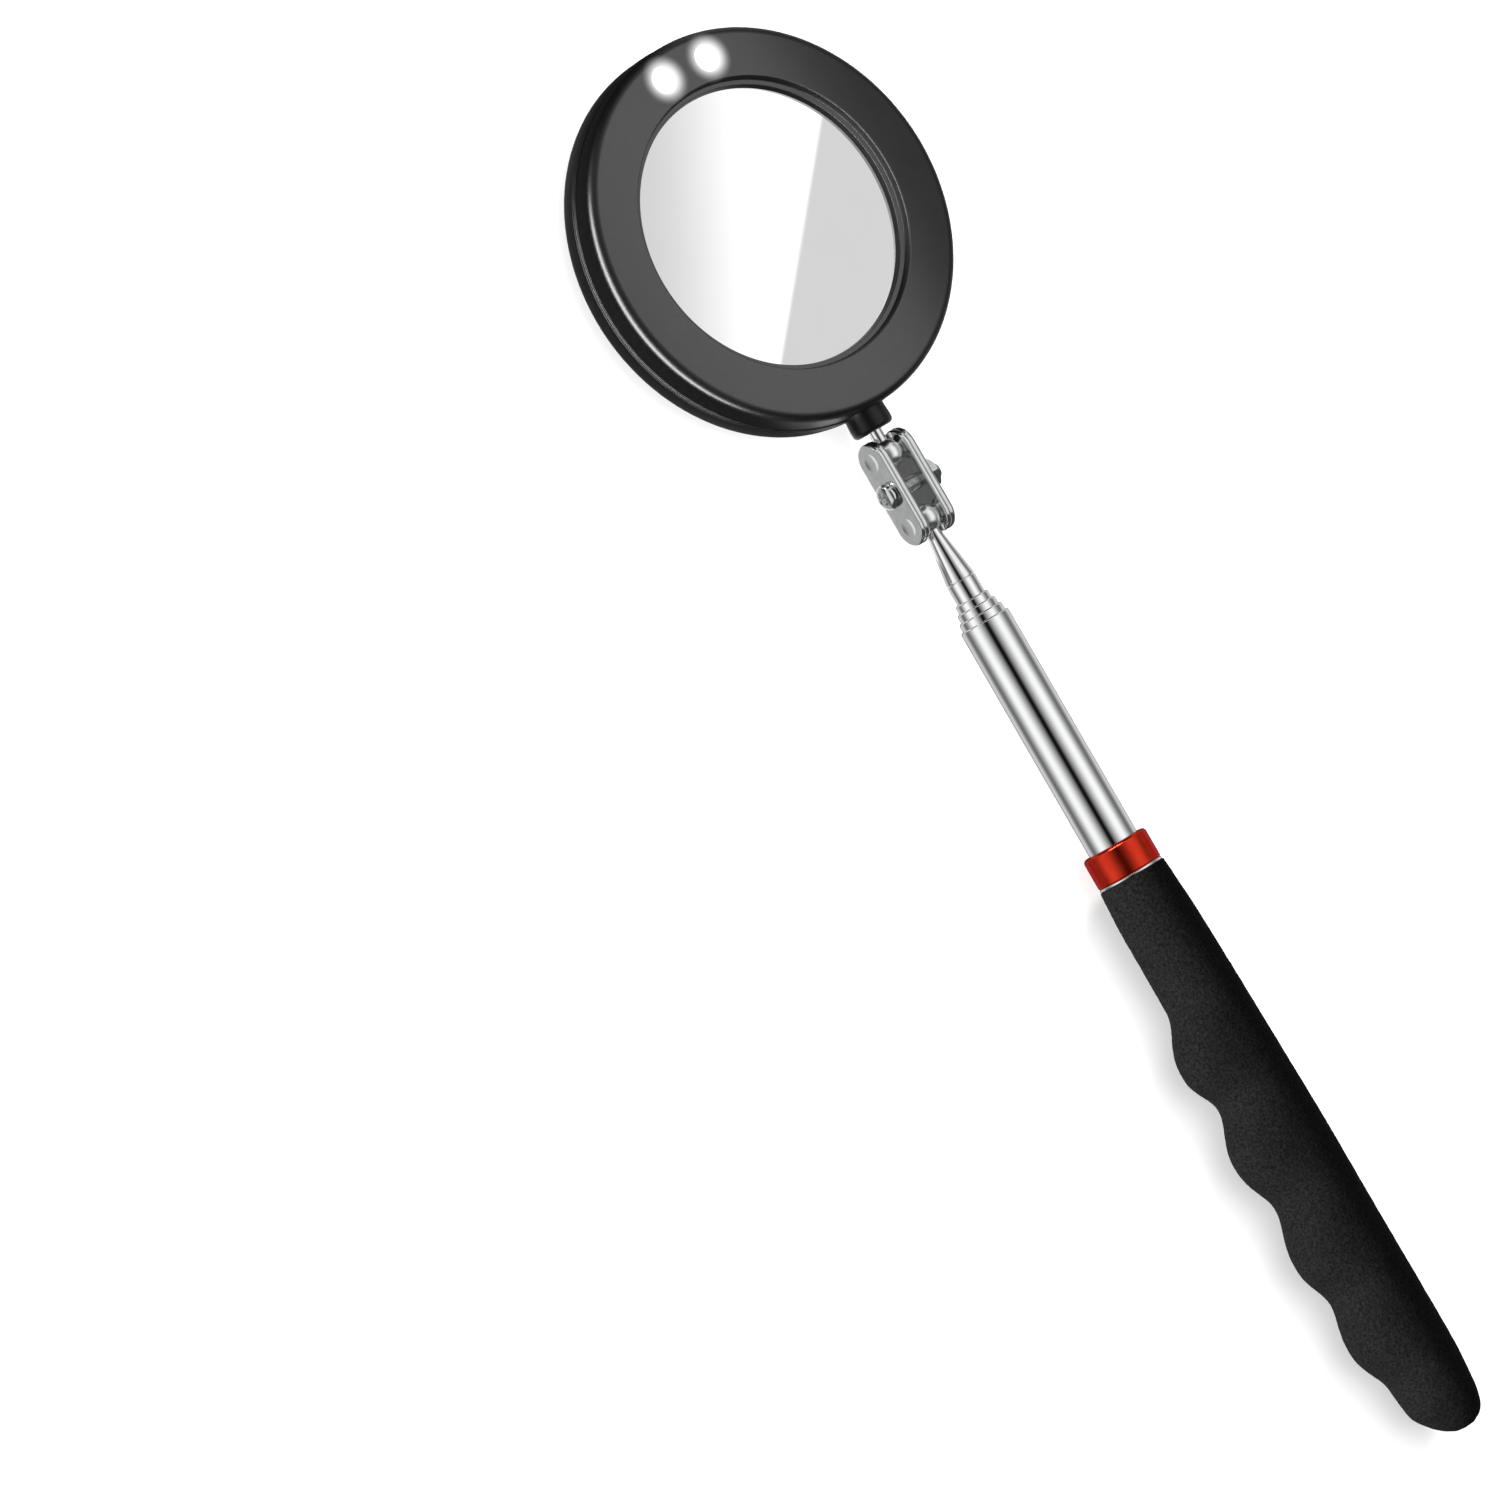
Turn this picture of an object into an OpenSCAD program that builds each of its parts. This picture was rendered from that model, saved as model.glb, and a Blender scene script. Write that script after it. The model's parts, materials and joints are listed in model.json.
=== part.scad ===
// Telescoping inspection mirror: a round lit head on a double ball joint, four sliding
// tube sections, and a foam grip. It lies along X on a flat surface, with the head towards
// -X, the mirror facing +Z and the finger ridges towards -Y. The origin is under the middle
// of its outline. Stations along the tool are measured from the front end of the grip, and
// grow towards the head.

/* [Head] */
// Outer diameter of the head
head_d = 80; // [79:0.5:84]
// Height of the head's front face above the tool's axis
head_front = 6.3; // [6.3:0.1:7]
// Depth of the head's back face below the tool's axis
head_back = 5.2; // [5.2:0.1:6]
// Depth of the seam between the two shells below the tool's axis
seam_drop = 0.6; // [0.5:0.1:0.8]
// Diameter of the mirror that shows
mirror_view_d = 55.4; // [54:0.2:56]
// Diameter of the bezel's opening at the front face
opening_d = 58.8; // [58:0.2:59]
// Depth of the mirror's face below the front face
mirror_sink = 3.0; // [2.8:0.1:3]
// Diameter of each LED
led_d = 5; // [4.6:0.1:5]
// Distance between the two LEDs
led_pitch = 11.2; // [10:0.2:14]
// Distance of the LEDs from the middle of the head
led_reach = 34.2; // [34:0.1:34.4]

/* [Neck and ball joint] */
// Diameter of the boss where the stud enters the head
neck_d = 8.4; // [8:0.1:8.4]
// Length of the boss that shows
neck_len = 4; // [3.5:0.1:5]
// Diameter of each ball
ball_d = 6; // [6:0.1:6.2]
// Distance between the two balls
ball_pitch = 14.2; // [14:0.1:16]
// Width of a clamp plate, which has round ends
plate_w = 7.7; // [7.5:0.1:8]
// Thickness of a clamp plate
plate_t = 2.2; // [2:0.1:2.4]
// Gap between the two clamp plates
plate_gap = 4.6; // [4.5:0.1:4.8]
// Thread diameter of the clamp screw
clamp_d = 3; // [2.5:0.1:3]

/* [Telescopic tube] */
// Diameter of the thinnest section
tube_1_d = 6; // [5.6:0.1:6.4]
// Growth in diameter from one section to the next
tube_step = 1.1; // [1.1:0.05:1.3]
// Wall of each section
tube_wall = 0.3; // [0.25:0.01:0.3]
// Length of the fixed section that shows in front of the collar
outer_show = 49.4; // [40:0.2:60]
// Length of each sliding section that shows when closed
section_show = 1.65; // [1.4:0.05:3]
// Length of the thinnest section that shows when closed
tube_1_show = 3.9; // [3:0.1:6]
// Depth of the fixed section inside the grip
tube_in_grip = 107; // [100:1:108]

/* [Grip] */
// Length of the grip
grip_len = 123.7; // [121:0.1:126]
// Diameter of the grip at its thickest, without the ridges
grip_d = 17; // [16.6:0.1:18]
// Diameter of the grip at its front end
grip_front_d = 13.8; // [13.4:0.1:14.4]
// Height of the finger ridges above the valleys
ridge_h = 3.6; // [2.5:0.1:4]
// Diameter of the collar
collar_d = 13.6; // [13:0.1:14]
// Length of the collar
collar_len = 6.3; // [5:0.1:8]

/* [Hidden] */
$fn = 64;
eps = 0.01;         // overlap that joins the shapes of one piece
fit = 0.05;         // radial gap of a running fit
press = 0.02;       // radial gap of a pressed or screwed fit
slack = 0.2;        // gap round parts that drop in

// stations along the tool
washer_t = 0.6;
collar_s = washer_t;
mouth_s = collar_s + collar_len + outer_show;
tube_1_top_s = mouth_s + 3 * section_show + tube_1_show;
crimp_t = 0.5;
cone_s = tube_1_top_s + crimp_t;
ball_lead = 13.2;   // cone's base to the ball's centre
low_ball_s = cone_s + ball_lead;
high_ball_s = low_ball_s + ball_pitch;
neck_lead = 5.2;    // upper ball's centre to the face of the boss
neck_s = high_ball_s + neck_lead;
head_r = head_d / 2;
head_s = neck_s + neck_len + head_r;
front_x = (head_s + head_r - grip_len) / 2;
axis_z = grip_d / 2;

// tube sections, numbered 1 to 5 from the thinnest to the fixed one
function tube_r(n) = tube_1_d / 2 + (n - 1) * tube_step / 2;
function tube_top(n) = mouth_s + (5 - n) * section_show;
lip_r = tube_step / 2 - fit;
plug_len = 5.5;         // how far the end plug reaches into the fixed section
plug_rim = 1;
section_s = plug_len + 0.3 - tube_in_grip;  // foot of every sliding section
foot_len = 0.8;
bush_len = 12;
bead_s = foot_len + bush_len + 0.2;     // height of the stop bead above the foot
bead_len = 0.6;
ring_h = tube_step / 2 - tube_wall - fit;

// head, heights above the tool's axis
corner = 1.4;
shell_wall = 2;
floor_t = 1.5;
floor_z = floor_t - head_back;
under_front = head_front - 2;
glass_top = head_front - mirror_sink;
glass_t = 1.5;
glass_r = 30;
pad_t = 0.5;
deck_t = 1;
deck_top = glass_top - glass_t - pad_t;
deck_z = deck_top - deck_t;
pocket_r = glass_r + 0.15;
pocket_wall = 1.05;
led_x = -sqrt(led_reach * led_reach - led_pitch * led_pitch / 4);
case_screw_reach = 34.6;
case_screw_angles = [40, 140, 220, 320];
case_screw_d = 2;
case_screw_head_r = 1.9;
case_screw_head_t = 1.4;
front_post_r = 2.2;
back_post_r = 2.8;

// cells, door and switch, from the middle of the head
cell_d = 20;
cell_t = 3.2;
cell_x = -3;
cell_y = 10.4;
cell_z = floor_z + 0.4;
bay = [21.6, 42.4];
door = [31, 46.4];
door_x = -0.5;
door_t = 1;
door_screw_x = 12;
door_screw_d = 1.8;
door_screw_len = 3.4;
door_screw_head_r = 1.6;
door_screw_head_t = 0.55;
door_boss_r = 2.4;
switch_x = 27;
switch_travel = 2.5;
knob = [2.4, 3.2];

// turns +Z towards the head and +X up, at a station on the tool's axis
module along(s) translate([front_x - s, 0, axis_z]) rotate([0, -90, 0]) children();
// turns +Z towards the screw's head (-Y), at a station on the tool's axis
module across(s) translate([front_x - s, 0, axis_z]) rotate([90, 0, 0]) children();
// the head's own middle, with +Z to the front and +X to the neck
module in_head() translate([front_x - head_s, 0, axis_z]) children();

// points on a circle about c from angle a0 to a1
function arc(c, r, a0, a1, n = 6) =
    [for (i = [0:n]) let (a = a0 + (a1 - a0) * i / n) [c.x + r * cos(a), c.y + r * sin(a)]];

module ring(r_out, r_in, len) difference() {
    cylinder(r = r_out, h = len);
    translate([0, 0, -1]) cylinder(r = r_in, h = len + 2);
}

// a plate with round corners, centred in X and Y
module slab(size, r, h) union() {
    translate([-size.x / 2, r - size.y / 2, 0]) cube([size.x, size.y - 2 * r, h]);
    translate([r - size.x / 2, -size.y / 2, 0]) cube([size.x - 2 * r, size.y, h]);
    for (x = [-1, 1], y = [-1, 1])
        translate([x * (size.x / 2 - r), y * (size.y / 2 - r), 0]) cylinder(r = r, h = h);
}

module at_case_screws() for (a = case_screw_angles)
    rotate([0, 0, a]) translate([case_screw_reach, 0, 0]) children();

module at_leds() for (side = [-1, 1])
    translate([led_x, side * led_pitch / 2, 0]) children();

// ---- grip and collar ----

ridge_stations = [-38.1, -58.4, -80.5, -99.3];
ridge_drop = 4.2;       // ridges are round about a line this far towards the fingers
ridge_r = grip_d / 2 + ridge_h - ridge_drop - 0.3;
ridge_curve = 15;
tail_shift = 2.4;

module grip_body() along(0) rotate_extrude() polygon(concat(
    [[0, 0], [grip_front_d / 2 - 0.8, 0]],
    [[grip_front_d / 2, -0.8], [grip_d / 2 - 0.6, -30], [grip_d / 2, -60],
     [grip_d / 2, 20 - grip_len]],
    arc([grip_d / 2 - 16, 20 - grip_len], 16, 0, -52),
    [[0, 3.6 - grip_len]]));

module finger_ridge(s) along(s) translate([0, -ridge_drop, 0]) rotate_extrude()
    intersection() {
        translate([ridge_r - ridge_curve, 0]) circle(r = ridge_curve);
        translate([0, -9.5]) square([ridge_r, 19]);
    }

module grip_tail() along(0) translate([0, tail_shift, 0]) rotate_extrude() polygon(concat(
    [[0, 30 - grip_len]],
    [[6, 30 - grip_len]],
    arc([0, 6 - grip_len], 6, 0, -90)));

module grip() color("#1c1c1d") difference() {
    union() {
        grip_body();
        for (s = ridge_stations) finger_ridge(s);
        grip_tail();
    }
    along(-tube_in_grip - 1.2) cylinder(r = tube_r(5) + fit, h = tube_in_grip + 3);
}

module collar_washer() color("silver") along(0)
    ring(collar_d / 2, tube_r(5) + fit, washer_t);

module grip_collar() color("#c8281c") along(collar_s) rotate_extrude() polygon(concat(
    [[tube_r(5) + fit, 0], [collar_d / 2, 0]],
    arc([collar_d / 2 - 1, collar_len - 1], 1, 0, 90),
    [[tube_r(5) + fit, collar_len]]));

// ---- telescopic tube ----

// the wall of a section with its mouth rolled in to hold the next one
module rolled_wall(r, len) rotate_extrude() union() {
    translate([r - tube_wall, 0]) square([tube_wall, len - lip_r + eps]);
    intersection() {
        translate([r - lip_r, len - lip_r]) circle(r = lip_r);
        translate([r - lip_r, len - lip_r]) square(lip_r);
    }
}

// the flared foot and the bead that hold a section's bush
module bush_rings(r) union() {
    ring(r + ring_h, r - tube_wall / 2, foot_len);
    translate([0, 0, bead_s]) ring(r + ring_h, r - tube_wall / 2, bead_len);
}

groove = [0.18, 1];     // depth and width

// the fixed section, with a rolled groove under the collar's front end that holds it
module outer_tube() color("#d8dadc") difference() {
    along(-tube_in_grip) rolled_wall(tube_r(5), tube_in_grip + mouth_s);
    along(collar_s + collar_len - groove[1]) ring(tube_r(5) + 1, tube_r(5) - groove[0], groove[1]);
}

module sliding_tube(n) color("#d8dadc") along(section_s) union() {
    rolled_wall(tube_r(n), tube_top(n) - section_s);
    bush_rings(tube_r(n));
}

module tube_1() color("#d8dadc") along(section_s) union() {
    ring(tube_r(1), tube_r(1) - tube_wall, tube_1_top_s - section_s);
    bush_rings(tube_r(1));
}

bush_slit = 0.8;
bush_fit = 0.03;

module bush(n) color("#b08d3c") along(section_s + foot_len + 0.1) difference() {
    ring(tube_r(n + 1) - tube_wall - bush_fit, tube_r(n) + bush_fit, bush_len);
    translate([0, -bush_slit / 2, -1]) cube([tube_r(n) + 2, bush_slit, bush_len + 2]);
}

module tube_end_plug() color("#3a3a3c") along(-tube_in_grip - plug_rim) union() {
    cylinder(r = tube_r(5), h = plug_rim);
    cylinder(r = tube_r(5) - tube_wall - press, h = plug_rim + plug_len);
}

// ---- double ball joint ----

cone_tip_r = 1.3;

module lower_ball_stud() color("#d0d2d4") union() {
    along(tube_1_top_s - 10) cylinder(r = tube_r(1) - tube_wall - press, h = 10 + eps);
    along(tube_1_top_s) cylinder(r = tube_r(1) + 0.12, h = crimp_t);
    along(cone_s - eps) cylinder(r1 = tube_r(1), r2 = cone_tip_r, h = ball_lead - 2.5);
    along(low_ball_s) sphere(d = ball_d);
}

seat_r = ball_d / 2 + fit;
dish_rim_r = 2.15;      // the pressed dish behind each ball
dish_r = 3.8;
dish_lift = sqrt(dish_r * dish_r - dish_rim_r * dish_rim_r);
plate_mid_s = (low_ball_s + high_ball_s) / 2;

// one clamp plate, side 1 towards the screw's head and -1 towards the nut
module joint_plate(side) color("#b9bcc0") difference() {
    across(plate_mid_s) translate([0, 0, side > 0 ? plate_gap / 2 : -plate_gap / 2 - plate_t])
        union() {
            translate([-ball_pitch / 2, -plate_w / 2, 0]) cube([ball_pitch, plate_w, plate_t]);
            for (end = [-1, 1])
                translate([end * ball_pitch / 2, 0, 0]) cylinder(d = plate_w, h = plate_t);
        }
    across(plate_mid_s) translate([0, 0, -10]) cylinder(d = clamp_d + 0.2, h = 20);
    for (s = [low_ball_s, high_ball_s]) {
        across(s) sphere(r = seat_r);
        across(s) translate([0, 0, side * (joint_half + dish_lift)]) sphere(r = dish_r);
    }
}

joint_half = plate_gap / 2 + plate_t;
nut_t = 2.4;
nut_af = 5.5;

pan_d = 5.4;            // the screw's head
pan_rim = 1;
pan_crown = 0.9;

module clamp_screw() color("#c4c6c9") across(plate_mid_s) difference() {
    union() {
        translate([0, 0, -joint_half - nut_t - 1]) cylinder(d = clamp_d, h = 2 * joint_half + nut_t + 1);
        translate([0, 0, joint_half]) cylinder(d = pan_d, h = pan_rim);
        translate([0, 0, joint_half + pan_rim - eps]) cylinder(d1 = pan_d, d2 = pan_d / 1.5, h = pan_crown);
    }
    for (a = [45, 135]) translate([0, 0, joint_half + pan_rim + 0.4]) rotate([0, 0, a])
        cube([3, 0.7, 1.6], center = true);
}

module clamp_nut() color("#b4b6b9") across(plate_mid_s) difference() {
    translate([0, 0, -joint_half - nut_t]) rotate([0, 0, 30])
        cylinder(d = nut_af / cos(30), h = nut_t, $fn = 6);
    translate([0, 0, -joint_half - nut_t - 1]) cylinder(r = clamp_d / 2 + press, h = nut_t + 2);
}

stud_r = 1.35;
stud_end_s = neck_s + neck_len + 5.6;
stud_cap = [2.3, 1.2];   // radius and thickness

module upper_ball_stud() color("#d0d2d4") union() {
    along(high_ball_s) sphere(d = ball_d);
    along(high_ball_s) cylinder(r = stud_r, h = stud_end_s - high_ball_s);
    along(stud_end_s - stud_cap[1]) cylinder(r = stud_cap[0], h = stud_cap[1]);
}

// ---- head ----

neck_r = neck_d / 2;
neck_seat = 0.4;        // how far the boss is let into the rim
neck_groove_r = 3;
neck_flange_r = 3.6;
neck_flange = neck_len + shell_wall + 0.1;  // from the boss's face to its inner flange
neck_depth = neck_len + 4.3;                // whole length of the boss

module neck_boss() color("#161617") along(neck_s) rotate_extrude() polygon(concat(
    [[stud_r + fit, 0]],
    arc([neck_r - 0.6, 0.6], 0.6, -90, 0),
    [[neck_r, neck_len + neck_seat], [neck_groove_r, neck_len + neck_seat],
     [neck_groove_r, neck_flange], [neck_flange_r, neck_flange],
     [neck_flange_r, neck_depth], [stud_r + fit, neck_depth]]));

module neck_hole() {
    along(neck_s) cylinder(r = neck_r + fit, h = neck_len + neck_seat + eps);
    along(neck_s) cylinder(r = neck_groove_r + fit, h = neck_depth);
    along(neck_s + neck_flange - fit) cylinder(r = neck_flange_r + fit, h = neck_depth - neck_flange);
}

module bezel_ring() rotate_extrude() polygon(concat(
    [[head_r - shell_wall, -seam_drop], [head_r - 0.25, -seam_drop],
     [head_r, 0.25 - seam_drop]],
    arc([head_r - corner, head_front - corner], corner, 0, 90),
    arc([opening_d / 2 + 0.4, head_front - 0.4], 0.4, 90, 180, 4),
    [[mirror_view_d / 2, glass_top], [pocket_r, glass_top], [pocket_r, deck_top],
     [pocket_r + pocket_wall, deck_top], [pocket_r + pocket_wall, under_front],
     [head_r - shell_wall, under_front]]));

module head_front_bezel() color("#2b2b2d") difference() {
    in_head() union() {
        bezel_ring();
        at_case_screws() translate([0, 0, deck_top])
            cylinder(r = front_post_r, h = under_front - deck_top + eps);
    }
    in_head() at_leds() cylinder(r = led_d / 2 + fit, h = head_front + 1);
    in_head() at_case_screws() translate([0, 0, deck_top - 1])
        cylinder(r = case_screw_d / 2 + press, h = 3.8);
    neck_hole();
}

standoff_top = deck_z - 0.1;
bore_depth = 1.9;

module back_pan() rotate_extrude() polygon(concat(
    [[0, -head_back]],
    arc([head_r - corner, corner - head_back], corner, -90, 0),
    [[head_r, -seam_drop - 0.25], [head_r - 0.25, -seam_drop],
     [head_r - shell_wall, -seam_drop], [head_r - shell_wall, floor_z], [0, floor_z]]));

module back_additions() {
    translate([0, 0, floor_z - eps]) ring(head_r - shell_wall - 0.1, head_r - 3, standoff_top - floor_z);
    at_case_screws() translate([0, 0, floor_z - eps]) cylinder(r = back_post_r, h = standoff_top - floor_z);
    translate([door_screw_x, 0, -head_back + door_t]) cylinder(r = door_boss_r, h = door_screw_len);
    translate([cell_x, 0, floor_z - eps]) slab([bay.x + 2, bay.y + 2], 3, 3.4);
}

module back_cuts() {
    at_case_screws() translate([0, 0, -head_back - 1]) {
        cylinder(r = case_screw_head_r + 0.15, h = bore_depth + 1);
        cylinder(r = case_screw_d / 2 + 0.1, h = 10);
    }
    translate([door_x, 0, -head_back - 1]) slab([door.x + 0.4, door.y + 0.4], 3.2, door_t + 1);
    translate([cell_x, 0, -head_back - 1]) slab(bay, 2, 10);
    translate([door_screw_x, 0, -head_back])
        cylinder(r = door_screw_d / 2 + press, h = door_screw_len + 0.3);
    translate([switch_x, 0, -head_back - 1]) slab([7, 11], 2.5, 1.5);
    translate([switch_x, 0, -head_back - 1])
        slab([knob.x + 0.4, knob.y + switch_travel + 0.4], 0.3, 5);
}

module head_back_shell() color("#232325") difference() {
    in_head() difference() {
        union() {
            back_pan();
            back_additions();
        }
        back_cuts();
    }
    neck_hole();
}

module inner_deck() color("#303033") in_head() difference() {
    translate([0, 0, deck_z]) cylinder(r = head_r - shell_wall - slack, h = deck_t);
    at_case_screws() translate([0, 0, deck_z - 1]) cylinder(r = case_screw_d / 2 + slack, h = 3);
    for (y = led_pins) at_leds() translate([0, y, deck_z - 1]) cylinder(r = 2 * led_pin_r, h = 3);
    translate([33.2, -5, deck_z - 1]) cube([8, 10, 3]);
    for (side = [-1, 1]) rotate([0, 0, side * wire_arc[1]]) translate([riser_reach, 0, deck_z - 1])
        cylinder(r = 1, h = 3);
}

module mirror_glass() color("#dfe5e8") in_head() translate([0, 0, glass_top - glass_t])
    cylinder(r = glass_r, h = glass_t - 0.02);

module mirror_pad() color("#f0f0ea") in_head() translate([0, 0, deck_top])
    cylinder(r = glass_r - 2, h = pad_t);

board_t = 0.8;
board_z = deck_top + 0.02;

led_flange = [led_d / 2 + 0.35, 0.8];   // radius and thickness
led_stem = 2.3;                         // height of the LED's straight part
led_pins = [-1.27, 1.27];
led_pin_r = 0.25;

module led_dome() intersection() {
    translate([0, 0, led_stem]) sphere(d = led_d);
    cylinder(r = led_d, h = led_stem + led_d);
}

module led(side) color("white") in_head() translate([led_x, side * led_pitch / 2, 0]) union() {
    translate([0, 0, board_z + board_t]) {
        cylinder(r = led_flange[0], h = led_flange[1]);
        cylinder(d = led_d, h = led_stem);
        led_dome();
    }
    for (y = led_pins) translate([0, y, deck_z - 0.5]) cylinder(r = led_pin_r, h = 3);
}

module led_board() color("#2f6b3f") in_head() difference() {
    translate([led_x - 2.5, -10.5, board_z]) cube([4.2, 21, board_t]);
    for (y = led_pins) at_leds() translate([0, y, 0]) cylinder(r = led_pin_r + fit, h = 4);
}

wire_r = 0.45;
wire_z = floor_z + 0.7;
wire_turn_r = 29.3;     // the leads run round the cells at this radius
wire_arc = [14, 161];   // from the switch to the LED board, turned from +X
riser_reach = 33.6;

// a lead lies round the cells, then turns out and up through the deck
module led_wire(side) {
    sweep = wire_arc[1] - wire_arc[0];
    rotate([0, 0, side > 0 ? wire_arc[0] : -wire_arc[1]]) translate([0, 0, wire_z])
        rotate_extrude(angle = sweep) translate([wire_turn_r, 0]) circle(r = wire_r);
    rotate([0, 0, side * wire_arc[1]]) {
        translate([wire_turn_r - 0.5, 0, wire_z]) rotate([0, 90, 0])
            cylinder(r = wire_r + 0.05, h = riser_reach - wire_turn_r + 0.5);
        translate([riser_reach, 0, wire_z - 0.6])
            cylinder(r = wire_r + 0.15, h = deck_top + 1.2 - wire_z);
    }
}

module led_wires() color("#a02020") in_head() for (side = [-1, 1]) led_wire(side);

module coin_cell(side) color("#c9ccce") in_head() translate([cell_x, side * cell_y, cell_z]) union() {
    cylinder(d = cell_d, h = cell_t - 0.3);
    cylinder(d = cell_d - 3, h = cell_t);
}

module cell_contacts() color("#c9b26a") in_head() for (side = [-1, 1])
    translate([cell_x - 3, side * cell_y - 5, cell_z + cell_t + 0.02])
        cube([6, 10, 0.3]);

// ---- battery door ----

module battery_door() color("#232325") in_head() difference() {
    translate([door_x, 0, -head_back]) slab(door, 3, door_t);
    translate([door_screw_x, 0, -head_back - 1])
        cylinder(r = door_screw_head_r + fit, h = door_screw_head_t + 1.05);
    translate([door_screw_x, 0, -head_back - 1]) cylinder(r = door_screw_d / 2 + 0.05, h = 3);
    for (i = [0:3]) translate([-13 + 1.6 * i, -5, -head_back - 1]) cube([0.7, 10, 1.25]);
}

module door_screw() color("#c4c6c9") in_head() translate([door_screw_x, 0, 0]) difference() {
    union() {
        translate([0, 0, 0.05 - head_back]) cylinder(r = door_screw_head_r, h = door_screw_head_t);
        translate([0, 0, 0.05 - head_back]) cylinder(d = door_screw_d, h = door_screw_len);
    }
    for (a = [45, 135]) translate([0, 0, 0.1 - head_back]) rotate([0, 0, a])
        cube([2, 0.45, 0.6], center = true);
}

module door_contact() color("#c9b26a") in_head()
    translate([cell_x - 3, -cell_y - 5, door_t - head_back]) cube([6, 2 * cell_y + 10, 0.4]);

// ---- switch ----

can = [4.2, 9.2, 2.7];
can_z = floor_z + 0.05;

module switch_body() color("#a9acb0") in_head() difference() {
    translate([switch_x - can.x / 2, -can.y / 2, can_z]) cube(can);
    translate([switch_x - 1.7, -4.2, can_z + 0.3]) cube([3.4, 8.4, 1.1]);
    translate([switch_x - knob.x / 2 - 0.2, -(knob.y + switch_travel) / 2 - 0.2, can_z - 1])
        cube([knob.x + 0.4, knob.y + switch_travel + 0.4, 2]);
}

// drawn switched on, which is the end of its travel towards +Y
module switch_slider() color("#e8e8e6") in_head() translate([switch_x, switch_travel / 2, 0]) union() {
    translate([-knob.x / 2, -knob.y / 2, 0.2 - head_back]) cube([knob.x, knob.y, 2.1]);
    translate([-1.5, -2.7, can_z + 0.4]) cube([3, 5.4, 0.8]);
}

module case_screws() color("#3c3c3e") in_head() at_case_screws() difference() {
    union() {
        translate([0, 0, bore_depth - head_back - case_screw_head_t])
            cylinder(r = case_screw_head_r, h = case_screw_head_t);
        translate([0, 0, bore_depth - head_back - 0.1]) cylinder(d = case_screw_d, h = 7.2);
    }
    for (a = [45, 135]) translate([0, 0, bore_depth - head_back - case_screw_head_t]) rotate([0, 0, a])
        cube([2.4, 0.5, 1.2], center = true);
}

grip();
collar_washer();
grip_collar();
outer_tube();
tube_end_plug();
sliding_tube(4);  // tube_4
bush(4);  // bush_4
sliding_tube(3);  // tube_3
bush(3);  // bush_3
sliding_tube(2);  // tube_2
bush(2);  // bush_2
tube_1();
bush(1);  // bush_1
lower_ball_stud();
joint_plate(1);  // joint_plate_screw_side
joint_plate(-1);  // joint_plate_nut_side
clamp_screw();
clamp_nut();
upper_ball_stud();
neck_boss();
head_front_bezel();
head_back_shell();
inner_deck();
mirror_glass();
mirror_pad();
led(1);  // led_left
led(-1);  // led_right
led_board();
led_wires();
coin_cell(1);  // coin_cell_left
coin_cell(-1);  // coin_cell_right
cell_contacts();
battery_door();
door_contact();
door_screw();
switch_body();
switch_slider();
case_screws();
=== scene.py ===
"""Looks of the telescoping inspection mirror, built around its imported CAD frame.

Shapes are worked out in millimetres and turned into metres when a mesh is made. Stations along
the tool start at the front end of the grip and grow towards the head (-X), as in the CAD source.
"""
import json
import math

import bmesh
import bpy
from mathutils import Matrix, Vector, noise


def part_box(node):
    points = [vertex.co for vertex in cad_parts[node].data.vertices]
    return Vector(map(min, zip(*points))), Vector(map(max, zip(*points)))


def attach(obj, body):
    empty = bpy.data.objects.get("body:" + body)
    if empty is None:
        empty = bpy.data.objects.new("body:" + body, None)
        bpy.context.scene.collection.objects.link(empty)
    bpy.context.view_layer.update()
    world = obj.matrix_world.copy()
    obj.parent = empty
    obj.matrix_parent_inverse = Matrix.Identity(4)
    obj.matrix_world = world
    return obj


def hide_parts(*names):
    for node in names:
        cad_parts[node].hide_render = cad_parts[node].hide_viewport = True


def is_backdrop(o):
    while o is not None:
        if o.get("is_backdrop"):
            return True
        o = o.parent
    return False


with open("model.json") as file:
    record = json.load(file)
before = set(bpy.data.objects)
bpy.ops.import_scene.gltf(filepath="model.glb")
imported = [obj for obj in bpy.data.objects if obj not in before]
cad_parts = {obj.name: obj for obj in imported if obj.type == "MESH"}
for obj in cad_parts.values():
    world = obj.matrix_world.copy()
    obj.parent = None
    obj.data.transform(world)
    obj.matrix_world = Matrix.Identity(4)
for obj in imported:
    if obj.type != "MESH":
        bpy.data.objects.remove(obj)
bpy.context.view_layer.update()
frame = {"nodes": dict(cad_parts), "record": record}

MM = 0.001


# ---- places and sizes, from the frame ----

def box_mm(node):
    low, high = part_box(node)
    return low / MM, high / MM


def middle(node):
    low, high = box_mm(node)
    return (low + high) / 2


FRONT_X = box_mm("collar_washer")[1].x          # the front end of the grip
AXIS_Z = middle("outer_tube").z
MOUTH = [FRONT_X - box_mm(f"tube_{n}")[0].x for n in (1, 2, 3, 4)]
MOUTH.append(FRONT_X - box_mm("outer_tube")[0].x)
FOOT = FRONT_X - box_mm("tube_1")[1].x          # station of the sliding sections' feet
TUBE_R = [3.0 + 0.55 * n for n in range(5)]     # from the thinnest section to the fixed one
TUBE_WALL = 0.3
SLIP = 0.02                                     # how loosely drawn pieces sit in or over each other
TUBE_IN_GRIP = box_mm("outer_tube")[1].x - FRONT_X
GRIP_LEN = box_mm("grip")[1].x - FRONT_X
COLLAR_R = (box_mm("grip_collar")[1].z - box_mm("grip_collar")[0].z) / 2
COLLAR_END = FRONT_X - box_mm("grip_collar")[0].x
BALL_R = 3.0
LOW_BALL = FRONT_X - box_mm("lower_ball_stud")[0].x - BALL_R
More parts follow.
